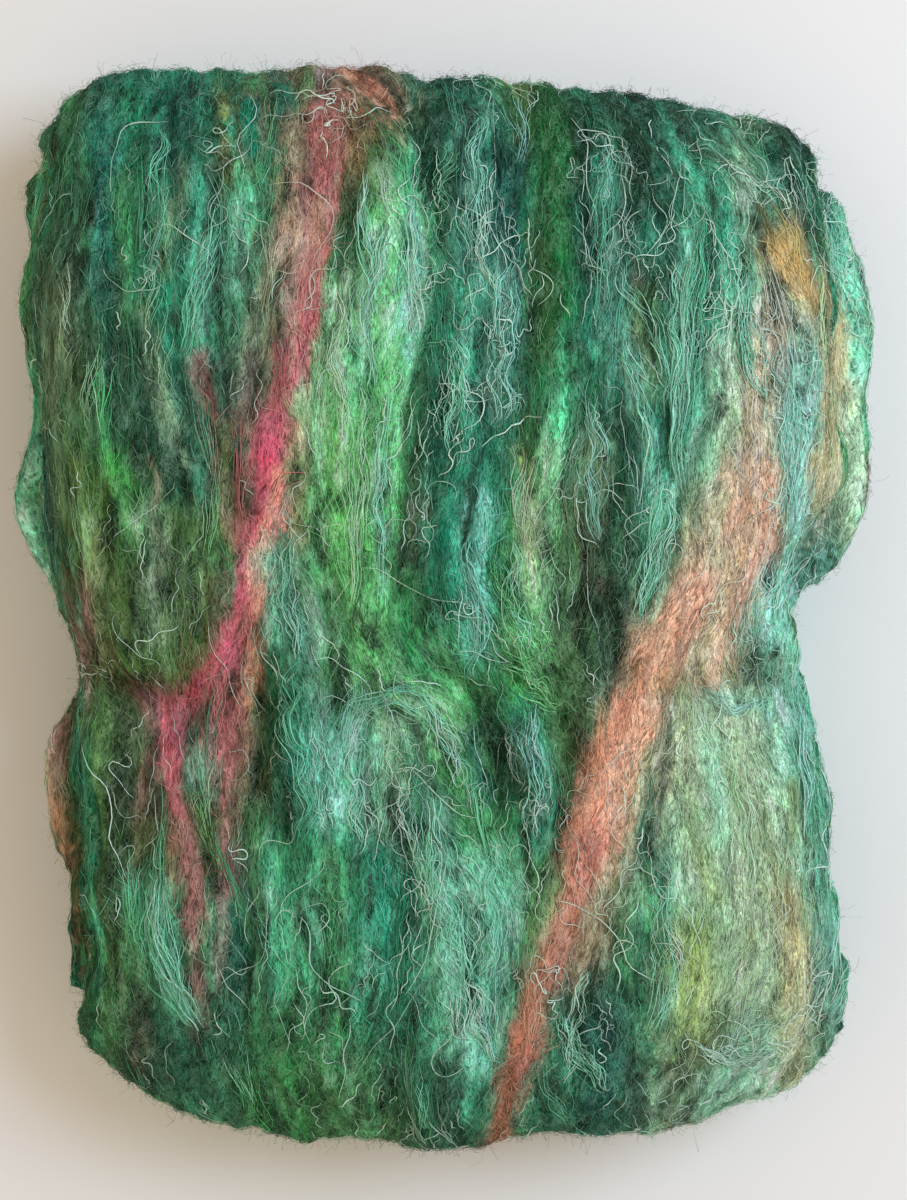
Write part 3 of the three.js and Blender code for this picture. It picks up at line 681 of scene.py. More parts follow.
def girth(co, middles=None):
    """Distance round the roll from the middle of the upper face, towards the back. The corners of
    a face are on the same side as its middle."""
    middles = co if middles is None else middles
    side = np.where(middles[:, 1] < 0, -1, 1)
    out = side * co[:, 1]
    turn = np.arctan2(np.maximum(out - CURL_FROM, 0), co[:, 2] - CURL_MIDDLE)
    flat = np.where(middles[:, 2] >= CURL_MIDDLE, out, GIRTH_TO_FOOT - out)
    return side * np.where(out > CURL_FROM, CURL_FROM + HALF_THICKNESS * turn, flat)


def depth_in(co):
    """How deep places lie under the roll's round outside, as the layers show at its ends."""
    past = np.maximum(np.abs(co[:, 1]) - CURL_FROM, 0)
    return np.maximum(0, CURL_MIDDLE - np.hypot(past, co[:, 2] - CURL_MIDDLE))


def unrolled(co):
    """Places on the roll as (across, girth), with the ends folded out."""
    out, depth = np.abs(co[:, 0]), depth_in(co)
    outer = ramp(out, 0.8 * HALF_WIDTH, 0.92 * HALF_WIDTH)
    grooved = outer * ramp(depth, 2 * MM, 8 * MM)
    out = out * (1 - grooved) + 0.95 * HALF_WIDTH * grooved + depth * outer
    return np.stack([np.sign(co[:, 0]) * out, girth(co)], 1)


def seen(co, on_end):
    """Where the camera sees places of the upper half. Those of the lower half take the place of
    the edge above them, so that the streaks run on round the roll and down its ends."""
    edge = np.sign(co[:, 1]) * (CURL_FROM + HALF_THICKNESS)
    under = co[:, 1] * on_end + edge * (1 - on_end)
    along = np.where(co[:, 2] < CURL_MIDDLE, under, co[:, 1])
    nearer = (EYE.z - TRUE_HEIGHT) / (EYE.z - np.maximum(co[:, 2], CURL_MIDDLE))
    eye = np.array(EYE[:2])
    return eye + (np.stack([co[:, 0], along], 1) - eye) * nearer[:, None]


def seen_from_above(lay):
    """Where the camera sees each unrolled place of the upper face and its curls, in metres."""
    past = np.clip((np.abs(lay[:, 1]) - CURL_FROM) / HALF_THICKNESS, 0, math.pi / 2)
    along = np.minimum(np.abs(lay[:, 1]), CURL_FROM) + HALF_THICKNESS * np.sin(past)
    flat = np.stack([lay[:, 0], np.sign(lay[:, 1]) * along], 1)
    nearer = (EYE.z - TRUE_HEIGHT) / (EYE.z - CURL_MIDDLE - HALF_THICKNESS * np.cos(past))
    eye = np.array(EYE[:2])
    return eye + (flat - eye) * nearer[:, None]


def upper_share(lay):
    """1 on the upper face and the upper part of the curls, 0 from their middles down."""
    past = (np.abs(lay[:, 1]) - CURL_FROM) / HALF_THICKNESS
    return 1 - ramp(past, 1.2, 1.9)


def leans_at(lay):
    """How far the fibres lean from the straight way round the roll, in radians, at each place."""
    flat = seen_from_above(lay)
    twice = np.zeros((len(lay), 2))
    twice[:, 0] = STRAIGHT_PULL
    for guides, weight in ((STREAKS, 1), (CURRENTS, CURRENT_PULL)):
        for guide in guides:
            gap, angle = to_line(flat, guide.line)
            pull = guide.cover * np.exp(-(gap / (guide.breadth * MM * GUIDE_REACH)) ** 2) * weight
            twice += pull[:, None] * np.stack([np.cos(2 * angle), np.sin(2 * angle)], 1)
    lean = 0.5 * np.arctan2(twice[:, 1], twice[:, 0]) * upper_share(lay)
    lean += 0.20 * Grain(7)(lay[:, 0] / (9 * MM), lay[:, 1] / (15 * MM))
    lean += 0.16 * Grain(8)(lay[:, 0] / (3.5 * MM), lay[:, 1] / (7 * MM))
    return lean


class Flow:
    """The fibres' lean over the unrolled roll, kept on a grid, and noise drawn out along it."""

    STEP = 1.5 * MM

    def __init__(self):
        self.size = (int(2 * HALF_WIDTH / self.STEP) + 12, int(2 * GIRTH_TO_FOOT / self.STEP) + 12)
        columns, rows = np.meshgrid(*(np.arange(n) for n in self.size), indexing="ij")
        grid = np.stack([(columns - self.size[0] / 2) * self.STEP, (rows - self.size[1] / 2) * self.STEP], 2)
        self.leans = leans_at(grid.reshape(-1, 2)).reshape(self.size)

    def lean(self, lay):
        """The fibres' lean at unrolled places, between the grid's own."""
        column = np.clip((lay[:, 0] / self.STEP + self.size[0] / 2), 0, self.size[0] - 1.01)
        row = np.clip((lay[:, 1] / self.STEP + self.size[1] / 2), 0, self.size[1] - 1.01)
        c, r = column.astype(int), row.astype(int)
        s, t = column - c, row - r
        near = self.leans[c, r] * (1 - s) + self.leans[c + 1, r] * s
        far = self.leans[c, r + 1] * (1 - s) + self.leans[c + 1, r + 1] * s
        return near * (1 - t) + far * t

    def drawn_round(self, lay, *pattern):
        """The same, with its two ends blended where they meet under the foot."""
        wrapped = lay - np.stack([np.zeros(len(lay)), np.sign(lay[:, 1]) * 2 * GIRTH_TO_FOOT], 1)
        own = 0.5 + 0.5 * ramp(GIRTH_TO_FOOT - np.abs(lay[:, 1]), 0, 40 * MM)
        return self.drawn(lay, *pattern) * own + self.drawn(wrapped, *pattern) * (1 - own)

    def drawn(self, lay, seed, breadth, length):
        """Noise of unit spread, breadth wide and drawn out to length along the fibres, both in mm."""
        grain = Grain(seed)
        steps = max(3, int(length / breadth))
        total = grain(lay[:, 0] / (breadth * MM) + 50, lay[:, 1] / (breadth * MM) + 50)
        for sign in (-1, 1):
            place = lay.copy()
            for _ in range(steps // 2):
                lean = self.lean(place)
                place += sign * breadth * MM * np.stack([np.sin(lean), np.cos(lean)], 1)
                total += grain(place[:, 0] / (breadth * MM) + 50, place[:, 1] / (breadth * MM) + 50)
        return np.clip(total / total.std(), -2.2, 2.2)


def layer_gaps(lay, depth, flow):
    """1 in the gaps between the layers that show at the ends, and 0 on the layers."""
    turn = depth / LAYER + 0.12 * flow.drawn(lay, 41, 6.0, 60) + 0.06 * flow.drawn(lay, 42, 3.0, 20)
    return np.exp(-((turn % 1 - 0.5) / 0.13) ** 2) * ramp(depth, 1 * MM, 4 * MM)


def blended(colour, name, share):
    """Colours with a share of a named dye laid over them."""
    return colour * (1 - share[:, None]) + dye_colour(name) * share[:, None]


def felted(flat, reach, weighed=True):
    """1 in the felted bands and 0 off them, at places as the camera sees them. reach is a share of
    a band's breadth, and weighed bands count for their cover."""
    near = np.zeros(len(flat))
    for band in FELTED:
        gap, _ = to_line(flat, band.line)
        most = band.cover if weighed else 1
        near = np.maximum(near, most * np.exp(-(gap / (band.breadth * MM * reach)) ** 4))
    return near


def dyes_at(co, on_end, lay, flow):
    """The dye at each place: what shows above, chance streaks of the same under the foot and on the inner
    layers, and all of it broken up into darker and paler strands. The darker strands hold painted shade
    between them, the paler ones a painted highlight as on hairs that catch the light, and the gaps between
    the layers at the ends get painted shade."""
    lanes = flow.drawn_round(lay, 3, 9, 90) + 0.5 * flow.drawn_round(lay, 4, 4, 50)
    choice = ["deep_teal", "spruce", "teal", "moss", "sea", "forest", "jade", "fern", "bark", "teal"]
    steps = np.linspace(-1.8, 1.8, len(choice))
    hidden = np.stack([np.interp(lanes, steps, [dye_colour(n)[k] for n in choice]) for k in range(3)], 1)
    colour = hidden.copy()
    flat = seen(co, on_end)
    flat[:, 0] += 1.0 * MM * flow.drawn(lay, 5, 2.0, 9)
    for streak in GROUND + STREAKS:
        gap, _ = to_line(flat, streak.line)
        fall = 4 if streak.cover == 1 else 2
        share = streak.cover * np.exp(-(gap / (streak.breadth * MM * STREAK_REACH)) ** fall)
        colour = blended(colour, streak.dye, share)
    from_foot = GIRTH_TO_FOOT - np.abs(lay[:, 1])
    depth = depth_in(co) + 3 * MM * flow.drawn(lay, 43, 8, 30)
    inner = np.maximum(ramp(depth, 4 * MM, 12 * MM) * on_end,
                       (1 - ramp(from_foot, 0.3 * CURL_FROM, 0.7 * CURL_FROM)) * (1 - on_end))[:, None]
    colour = colour * (1 - inner) + hidden * inner
    # Painted shade: the gaps between the layers at the ends are darkened.
    colour *= 1 - 0.6 * (layer_gaps(lay, depth_in(co), flow) * on_end)[:, None]
    calm = (1 - 0.75 * felted(flat, 0.6)) * (1 - 0.6 * on_end)
    # Painted shade: deep marks dark gaps between strands, where the darkest dye is laid over the colour
    # below.
    deep = ramp(flow.drawn(lay, 21, 2.6, 14) + 0.7 * flow.drawn(lay, 22, 1.6, 6), 0.4, 2.2)
    # Painted highlight: pale marks strands that are painted paler below, as hairs that catch the light.
    pale = ramp(flow.drawn(lay, 23, 2.2, 18) + 0.7 * flow.drawn(lay, 24, 1.6, 8), 0.5, 2.6)
    value = np.exp(calm * (0.26 * flow.drawn(lay, 25, 1.7, 7) + 0.26 * flow.drawn(lay, 27, 2.0, 26)
                           + 0.20 * flow.drawn(lay, 26, 5.0, 40)))
    colour = blended(colour, "night", 0.9 * deep * calm)
    colour = paler(colour, (0.9 * pale * calm)[:, None])
    return limited(colour * value[:, None])


def arrays_of(mesh, normals=False):
    """The vertex positions of a mesh, or its vertex normals."""
    flat = np.zeros(len(mesh.vertices) * 3)
    source, name = (mesh.vertex_normals, "vector") if normals else (mesh.vertices, "co")
    source.foreach_get(name, flat)
    return flat.reshape(-1, 3)


def unit(vectors):
    """The vectors at length 1."""
    return vectors / (np.linalg.norm(vectors, axis=-1, keepdims=True) + 1e-12)


def ways_at(co, normals, leans):
    """The unit direction of the fibres at each point, lying in the surface."""
    core = np.clip(co[:, 1], -CURL_FROM, CURL_FROM)
    out = unit(np.stack([np.zeros(len(co)), co[:, 1] - core, co[:, 2] - CURL_MIDDLE], 1))
    mostly_end = ramp(np.abs(normals[:, 0]), 0.55, 0.8)[:, None]
    out = out * mostly_end + normals * (1 - mostly_end)
    round_way = np.cross(out, np.array([1.0, 0.0, 0.0]))
    round_way = unit(round_way - normals * np.sum(round_way * normals, 1)[:, None])
    side_way = np.cross(round_way, normals)
    return round_way * np.cos(leans)[:, None] + side_way * np.sin(leans)[:, None]


def add_node(tree, kind, inputs=None, **settings):
    """One shader node with its settings, its values and its links."""
    node = tree.nodes.new(kind)
    for name, value in settings.items():
        setattr(node, name, value)
    for name, value in (inputs or {}).items():
        if isinstance(value, bpy.types.NodeSocket):
            tree.links.new(value, node.inputs[name])
        else:
            node.inputs[name].default_value = value
    return node


def new_material(name):
    """A material with its node tree and its shader node."""
    material = bpy.data.materials.new(name)
    material.use_nodes = True
    tree = material.node_tree
    return material, tree, tree.nodes["Principled BSDF"]


def math_node(tree, operation, *values, **settings):
    """The output of one sum over numbers and links."""
    settings["operation"] = operation
    return add_node(tree, "ShaderNodeMath", dict(enumerate(values)), **settings).outputs[0]


# Stray hairs that cross the others: their lean in radians, and their breadth and length in mm
STRAY_HAIRS = ((-0.35, 2.0, 7), (0.5, 2.1, 7), (1.1, 2.6, 6))


def carded_wool(sizes):
    """Carded wool, drawn out on a drum: matt, with crimped fine fibres that catch the light over the dark
    between them, painted as light and shade in its colour, and stray hairs that cross them, painted with a
    glint. Real fibres are 0.02 to 0.03 mm thick, too fine to show, so the pattern draws bundles of them some
    tenths of a millimetre broad."""
    material, tree, shader = new_material("carded_wool_matt")
    dye = add_node(tree, "ShaderNodeAttribute", attribute_name="dye")
    hair = add_node(tree, "ShaderNodeAttribute", attribute_name="hair")
    lean = add_node(tree, "ShaderNodeAttribute", attribute_name="lean")
    lay = add_node(tree, "ShaderNodeUVMap", uv_map="Lay")
    spread = sizes.texture_lean
    fibre = sizes.texture_fibre * MM
    shares = {}
    for side in (-1, 1):
        share = add_node(tree, "ShaderNodeMapRange", {
            "Value": lean.outputs["Fac"], "From Min": side * spread * 0.3, "From Max": side * spread * 0.7})
        shares[side] = share.outputs["Result"]

    def streaks(angle, breadth, length, detail, bend):
        """Noise that is breadth wide and length long, at an angle to the straight way round."""
        turned = add_node(tree, "ShaderNodeMapping", {
            "Vector": lay.outputs["UV"], "Rotation": (0, 0, angle)})
        drawn = add_node(tree, "ShaderNodeMapping", {
            "Vector": turned.outputs["Vector"], "Scale": (1 / breadth, 1 / length, 1)})
        noise = add_node(tree, "ShaderNodeTexNoise", {
            "Vector": drawn.outputs["Vector"], "Scale": 1.0, "Detail": detail, "Roughness": 0.65,
            "Distortion": bend})
        return noise.outputs["Fac"]

    def hairs(angle, breadth, length, fineness, detail=2.0):
        """Thin crinkled lines where a drawn-out noise passes its middle value."""
        off = math_node(tree, "SUBTRACT", streaks(angle, breadth, length, detail, 0.9), 0.5)
        away = math_node(tree, "ABSOLUTE", off)
        return math_node(tree, "MULTIPLY_ADD", away, -fineness, 1.0, use_clamp=True)

    def leaning(kind, *values):
        """A pattern in three directions, chosen by how far the fibres lean here."""
        mixed = kind(0, *values)
        for side in (-1, 1):
            mixed = add_node(tree, "ShaderNodeMix", {
                0: shares[side], 2: mixed, 3: kind(side * spread, *values)}).outputs[0]
        return mixed

    net = leaning(hairs, fibre * 3.0, fibre * 14, 7.0, 1.0)
    felt = leaning(streaks, fibre * 2.2, fibre * 9, 2.0, 0.9)
    both = math_node(tree, "MULTIPLY_ADD", net, 0.75, math_node(tree, "MULTIPLY", felt, 0.6))
    crossing = hairs(0.05, 1.8 * MM, 7 * MM, 22)
    for angle, breadth, length in STRAY_HAIRS:
        stray = hairs(angle, breadth * MM, length * MM, 24)
        crossing = math_node(tree, "MAXIMUM", crossing, stray)
    there = add_node(tree, "ShaderNodeMapRange", {
        "Value": streaks(0.2, 3 * MM, 9 * MM, 1.0, 0.6), "From Min": 0.38, "From Max": 0.62,
        "To Min": 0.2, "To Max": 1.0})
    # Painted light and shade: the dye is scaled up on the fibres and down between them.
    light = add_node(tree, "ShaderNodeMapRange", {
        "Value": both, "From Min": 0.25, "From Max": 1.15, "To Min": 0.3, "To Max": 1.9})
    shaded = add_node(tree, "ShaderNodeVectorMath", {
        0: dye.outputs["Color"], "Scale": light.outputs["Result"]}, operation="SCALE")
    # Painted glint: the stray hairs take the hair colour, the dye whitened as on a hair that catches the
    # light.
    weight = math_node(tree, "MULTIPLY", crossing, there.outputs["Result"])
    colour = add_node(tree, "ShaderNodeMix", {
        "Factor": weight, 6: shaded.outputs["Vector"], 7: hair.outputs["Color"]}, data_type="RGBA")
    height = math_node(tree, "MULTIPLY_ADD", crossing, 0.4, both)
    bump = add_node(tree, "ShaderNodeBump", {"Height": height, "Distance": 0.45 * MM, "Strength": 1.0})
    tree.links.new(colour.outputs[2], shader.inputs["Base Color"])
    tree.links.new(bump.outputs["Normal"], shader.inputs["Normal"])
    shader.inputs["Roughness"].default_value = 0.9
    shader.inputs["IOR"].default_value = 1.55
    shader.inputs["Specular IOR Level"].default_value = 0.1
    return material


def fibre_material(name, roughness, ior, specular, sheen):
    """The named fibre's material, made once, coloured strand by strand."""
    if name in bpy.data.materials:
        return bpy.data.materials[name]
    material, tree, shader = new_material(name)
    dye = add_node(tree, "ShaderNodeAttribute", attribute_name="dye")
    tree.links.new(dye.outputs["Color"], shader.inputs["Base Color"])
    shader.inputs["Roughness"].default_value = roughness
    shader.inputs["IOR"].default_value = ior
    shader.inputs["Sheen Weight"].default_value = sheen
    shader.inputs["Sheen Roughness"].default_value = 0.35
    shader.inputs["Sheen Tint"].default_value = (*linear("#E6FFF3"), 1)
    shader.inputs["Specular IOR Level"].default_value = specular
    return material


def loose_wool():
    """Single wool fibres that stand off the batt: scaly, so matt, with a weak sheen."""
    return fibre_material("loose_wool_fibre", roughness=0.8, ior=1.55, specular=0.25, sheen=0.05)


def silk():
    """Waste silk without its gum: smooth three-sided filament that takes the dye weakly, so it is
    pale and has a soft gloss along its length."""
    return fibre_material("waste_silk_glossy", roughness=0.35, ior=1.57, specular=0.6, sheen=0.45)


def finish_piece(name, mesh, material):
    """Links a finished mesh as a piece that rides on the batt's one body."""
    mesh.materials.clear()
    mesh.materials.append(material)
    piece = bpy.data.objects.new(name, mesh)
    bpy.context.scene.collection.objects.link(piece)
    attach(piece, "root")
    return piece


def colour_attribute(mesh, values, name="dye"):
    """Stores one linear colour for each point of a mesh."""
    layer = mesh.attributes.new(name, "FLOAT_COLOR", "POINT")
    layer.data.foreach_set("color", np.c_[values, np.ones(len(values))].astype(np.float32).ravel())


def body_mesh(sizes):
    """The roll's surface: the solid's own faces, joined, smoothed, rumpled and dyed."""
    work = bmesh.new()
    work.from_mesh(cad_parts[NODE].data)
    bmesh.ops.remove_doubles(work, verts=work.verts, dist=0.002 * MM)
    bmesh.ops.join_triangles(work, faces=work.faces, angle_face_threshold=math.radians(80),
                             angle_shape_threshold=math.radians(80))
    mesh = bpy.data.meshes.new("batt_body")
    work.to_mesh(mesh)
    work.free()
    holder = bpy.data.objects.new("batt_body_work", mesh)
    bpy.context.scene.collection.objects.link(holder)
    smooth = holder.modifiers.new("smooth", "SUBSURF")
    smooth.levels = smooth.render_levels = 2
    fine = bpy.data.meshes.new_from_object(holder.evaluated_get(bpy.context.evaluated_depsgraph_get()))
    bpy.data.objects.remove(holder)
    co, normals = arrays_of(fine), arrays_of(fine, normals=True)
    lay, flow = unrolled(co), Flow()
    on_end = ramp(np.abs(normals[:, 0]), 0.5, 0.8)
    lean = flow.lean(lay)
    rumple = flow.drawn(lay, 11, 5.0, 34) + 0.55 * flow.drawn(lay, 12, 2.6, 16)
    rumple += 0.5 * Grain(13)(lay[:, 0] / (9 * MM), lay[:, 1] / (11 * MM))
    across, along = co[:, 0] / HALF_WIDTH, co[:, 1] / HALF_LENGTH
    corner = ramp(np.abs(across), 0.5, 0.85) * ramp(np.abs(along), 0.75, 0.95)
    front = ramp(-along, 0.7, 0.93) * (1 - ramp(across, -0.1, 0.4))
    pressed = np.exp(-((along + 0.66) / 0.08) ** 2) * ramp(-across, 0.6, 0.8)
    push = sizes.fluff + sizes.corner_fluff * np.maximum(corner, 0.8 * front) + sizes.rumple * rumple
    push -= sizes.pressed_lobe * pressed
    push -= LAYER_GAP * layer_gaps(lay, depth_in(co), flow) * on_end
    push *= MM * ramp(co[:, 2], 0.2 * MM, 7 * MM)
    dyes = dyes_at(co, on_end, lay, flow)
    co = co + normals * push[:, None]
    co[:, 2] = np.maximum(co[:, 2], 0)
    fine.vertices.foreach_set("co", co.ravel())
    fine.update()
    colour_attribute(fine, dyes)
    # Painted glint: the hair colour is the dye whitened as on a hair that catches the light.
    colour_attribute(fine, limited(glint(dyes, 0.8)), "hair")
    layer = fine.attributes.new("lean", "FLOAT", "POINT")
    layer.data.foreach_set("value", lean.astype(np.float32))
    way = fine.attributes.new("way", "FLOAT_VECTOR", "POINT")
    ways = ways_at(co, arrays_of(fine, normals=True), lean)
    way.data.foreach_set("vector", ways.astype(np.float32).ravel())
    loop_points = np.zeros(len(fine.loops), dtype=int)
    fine.loops.foreach_get("vertex_index", loop_points)
    middles = np.array([p.center for p in fine.polygons]).repeat([p.loop_total for p in fine.polygons], 0)
    uv_map = fine.uv_layers.new(name="Lay")
    uv = np.stack([lay[loop_points, 0], girth(co[loop_points], middles)], 1)
    uv_map.data.foreach_set("uv", uv.astype(np.float32).ravel())
    fine.shade_smooth()
    return fine


class Surface:
    """The batt's body as something that fibres are laid on."""

    def __init__(self, body):
        mesh = body.data
        self.co = arrays_of(mesh)
        self.normals = arrays_of(mesh, normals=True)
        self.faces = [tuple(p.vertices) for p in mesh.polygons]
        self.tree = BVHTree.FromPolygons(self.co.tolist(), self.faces)
        self.first = np.array([face[0] for face in self.faces])
        self.areas = np.array([p.area for p in mesh.polygons])
        self.middles = np.array([p.center for p in mesh.polygons])
        self.ways = np.zeros(len(self.co) * 3)
        mesh.attributes["way"].data.foreach_get("vector", self.ways)
        self.ways = self.ways.reshape(-1, 3)
        self.dyes = np.zeros(len(self.co) * 4)
        mesh.attributes["dye"].data.foreach_get("color", self.dyes)
        self.dyes = self.dyes.reshape(-1, 4)[:, :3]

    def snap(self, points):
        """The nearest points of the surface, and the vertex that stands for each."""
        found = [self.tree.find_nearest(Vector(p)) for p in points]
        return np.array([f[0] for f in found]), self.first[[f[2] for f in found]]

    def under(self, flat):
        """The points of the upper face under places in x and y, and the vertex for each."""
        found = [self.tree.ray_cast(Vector((x, y, 0.2)), Vector((0, 0, -1))) for x, y in flat]
        lost = [k for k, f in enumerate(found) if f[0] is None]
        for k in lost:
            found[k] = self.tree.find_nearest(Vector((*flat[k], CURL_MIDDLE)))
        return np.array([f[0] for f in found]), self.first[[f[2] for f in found]]

    def seeds(self, count, weight, rng):
        """Random points of the surface, as dense as weight says for each face's middle."""
        share = self.areas * weight(self.middles)
        picks = rng.choice(len(share), count, p=share / share.sum())
        out = np.zeros((count, 3))
        for k, face in enumerate(picks):
            corners = self.co[list(self.faces[face])]
            out[k] = rng.dirichlet(np.ones(len(corners))) @ corners
        return out, self.first[picks]


def walk(surface, start, vertex, steps, stride, heading, height):
    """Paths over the surface. heading gives each path's angle off the fibres' way at a step, and
    height its height over the surface. Both are arrays of paths by steps + 1."""
    paths = np.zeros((len(start), steps + 1, 3))
    place, at = start, vertex
    paths[:, 0] = place + surface.normals[at] * height[:, :1]
    forward = surface.ways[at]
    for k in range(1, steps + 1):
        way = surface.ways[at]
        way = way * np.sign(np.sum(way * forward, 1) + 1e-9)[:, None]
        side = np.cross(way, surface.normals[at])
        angle = heading[:, k - 1]
        step = way * np.cos(angle)[:, None] + side * np.sin(angle)[:, None]
        place, at = surface.snap(place + step * stride[:, None])
        forward = way
        paths[:, k] = place + surface.normals[at] * height[:, k:k + 1]
    return paths


def eased(paths, times=2):
    """Paths with their corners rounded off."""
    for _ in range(times):
        inner = 0.25 * paths[:, :-2] + 0.5 * paths[:, 1:-1] + 0.25 * paths[:, 2:]
        paths = np.concatenate([paths[:, :1], inner, paths[:, -1:]], 1)
    return paths


def strands(paths, radii, colours, sides=3):
    """Joined closed strands with pointed ends, each with its own cell of the bake's map."""
    count, points, _ = paths.shape
    paths[:, :, 2] = np.maximum(paths[:, :, 2], 0.3 * MM)
    run = unit(np.gradient(paths, axis=1))
    across = unit(np.cross(run, np.array([0.31, 0.17, 0.93])))
    up = np.cross(run, across)
    rings = points - 2
    angles = np.arange(sides) * 2 * math.pi / sides
    turn = np.cos(angles)[None, None, :, None], np.sin(angles)[None, None, :, None]
    ring = (across[:, 1:-1, None] * turn[0] + up[:, 1:-1, None] * turn[1]) * radii[:, 1:-1, None, None]
    tubes = (paths[:, 1:-1, None] + ring).reshape(count, rings * sides, 3)
    co = np.concatenate([paths[:, :1], tubes, paths[:, -1:]], 1).reshape(-1, 3)
    last = rings * sides + 1
    quads, tips = [], []
    for s in range(sides):
        after = (s + 1) % sides
        quads += [(1 + r + s, 1 + r + after, 1 + r + sides + after, 1 + r + sides + s)
                  for r in range(0, (rings - 1) * sides, sides)]
        tips += [(0, 1 + after, 1 + s), (last, last - sides + s, last - sides + after)]
    base = np.arange(count)[:, None, None] * (last + 1)
    quads = (base + np.array(quads)[None]).reshape(-1, 4)
    tips = (base + np.array(tips)[None]).reshape(-1, 3)
    corners = np.concatenate([quads.ravel(), tips.ravel()])
    sides_of = np.concatenate([np.full(len(quads), 4), np.full(len(tips), 3)])
    mesh = bpy.data.meshes.new("strands")
    mesh.vertices.add(len(co))
    mesh.vertices.foreach_set("co", co.ravel())
    mesh.loops.add(len(corners))
    mesh.loops.foreach_set("vertex_index", corners)
    mesh.polygons.add(len(sides_of))
    mesh.polygons.foreach_set("loop_start", np.concatenate([[0], np.cumsum(sides_of)[:-1]]))
    mesh.update(calc_edges=True)
    round_colours = np.repeat(colours[:, 1:-1], sides, 1)
    whole = np.concatenate([colours[:, :1], round_colours, colours[:, -1:]], 1)
    colour_attribute(mesh, whole.reshape(-1, 3))
    # Each strand has one cell of a square grid, its length up the cell and its sides across it
    grid = math.ceil(math.sqrt(count))
    local_u = np.concatenate([[0.5], np.tile((np.arange(sides) + 0.5) / sides, rings), [0.5]])
    local_v = np.concatenate([[0], np.repeat(np.arange(1, rings + 1), sides) / (points - 1), [1]])
    u = (np.arange(count) % grid)[:, None] + 0.1 + 0.8 * local_u
    v = (np.arange(count) // grid)[:, None] + 0.05 + 0.9 * local_v
    uv = np.stack([u, v], 2).reshape(-1, 2) / grid
    bake = mesh.uv_layers.new(name="OFBake")
    bake.data.foreach_set("uv", uv[corners].astype(np.float32).ravel())
    mesh.shade_smooth()
    return mesh


def tapers(count, points, breadth, rng):
    """Radii in metres of strands that are breadth mm thick in the middle and come to points."""
    share = np.linspace(0, 1, points)
    shape = np.clip(np.sin(math.pi * share), 0, 1) ** 0.4
    return breadth * MM / 2 * shape[None] * rng.uniform(0.7, 1.3, (count, 1))


def waves(count, points, size, rng, turns=1.0):
    """Smooth random values along each path, as a sum of three sines."""
    share = np.linspace(0, 1, points)[None]
    total = np.zeros((count, points))
    for k in (1, 2, 3.3):
        phase = rng.uniform(0, 1, (count, 1))
        total += np.sin(2 * math.pi * (share * k * turns + phase)) * rng.normal(0, 1, (count, 1)) / k
    return total * size


def shades(own, rng, spread, pale, lift=1.0):
    """One colour a strand from the dye under it: lighter or darker, and some of it whitened by a painted
    glint.
    """
    value = lift * np.exp(rng.normal(0, spread, (len(own), 1)))
    return limited(glint(own, pale * rng.random((len(own), 1)) ** 2) * value)


def current_batt():
    """The body that is in the scene, as a surface."""
    body = bpy.data.objects.get("batt_body")
    if body is None:
        raise RuntimeError("the batt's body is built first")
    return Surface(body)


class BattSizes(PropertyGroup):
    fluff: FloatProperty(name="Fluff", description="How far the fibre stands over the solid, in mm",
                         default=0.7, min=0, max=4)
    corner_fluff: FloatProperty(name="Corner Fluff", default=3.0, min=0, max=8,
                                description="How much further it stands at the corners, in mm")
    pressed_lobe: FloatProperty(name="Pressed Lobe", default=3.5, min=0, max=8,
                                description="How far the front left lobe is pressed in, in mm")
    rumple: FloatProperty(name="Rumple", description="Height of the small folds along the fibres, in mm",
                          default=0.45, min=0, max=3)
    texture_fibre: FloatProperty(name="Fibre Grain", description="Breadth of the finest streaks, in mm",
                                 default=0.3, min=0.1, max=2)
    texture_lean: FloatProperty(name="Grain Lean", description="Lean of the outer sets of streaks",
                                default=0.45, subtype="ANGLE")
    lock_count: IntProperty(name="Wool Locks", description="Locks of nine wool fibres", default=330, min=5)
    lock_length: FloatProperty(name="Lock Length", description="Length of a lock, in mm",
                               default=24, min=5, max=80)
    lock_breadth: FloatProperty(name="Lock Fibre", description="Breadth of a lock's fibre, in mm",
                                default=0.19, min=0.05, max=1)
    down_count: IntProperty(name="Down", description="Short fibres on each half", default=12000, min=10)
    down_length: FloatProperty(name="Down Length", description="Length of a short fibre, in mm",
                               default=7.5, min=1, max=40)
    down_breadth: FloatProperty(name="Down Breadth", description="Breadth of a short fibre, in mm",
                                default=0.15, min=0.02, max=1)
    thread_count: IntProperty(name="Silk Threads", description="Curly silk threads", default=1300, min=10)
    thread_length: FloatProperty(name="Thread Length", description="Length of a silk thread, in mm",
                                 default=14, min=5, max=200)
    thread_breadth: FloatProperty(name="Thread Breadth", description="Breadth of a silk thread, in mm",
                                  default=0.24, min=0.1, max=2)
    fuzz_count: IntProperty(name="Fuzz", description="Short hairs that stand off the batt",
                            default=13000, min=10)
    fuzz_length: FloatProperty(name="Fuzz Length", description="Length of a hair, in mm",
                               default=3.4, min=1, max=40)
    fuzz_breadth: FloatProperty(name="Fuzz Breadth", description="Breadth of a hair, in mm",
                                default=0.07, min=0.02, max=1)
    silk_pale: FloatVectorProperty(name="Undyed Silk", description="Colour of silk that took no dye",
                                   subtype="COLOR", size=3, min=0, max=1, default=linear("#DCFBEA"))
    floor: FloatVectorProperty(name="Floor", description="Colour of the floor", subtype="COLOR",
                               size=3, min=0, max=1, default=linear("#EDEDEC"))


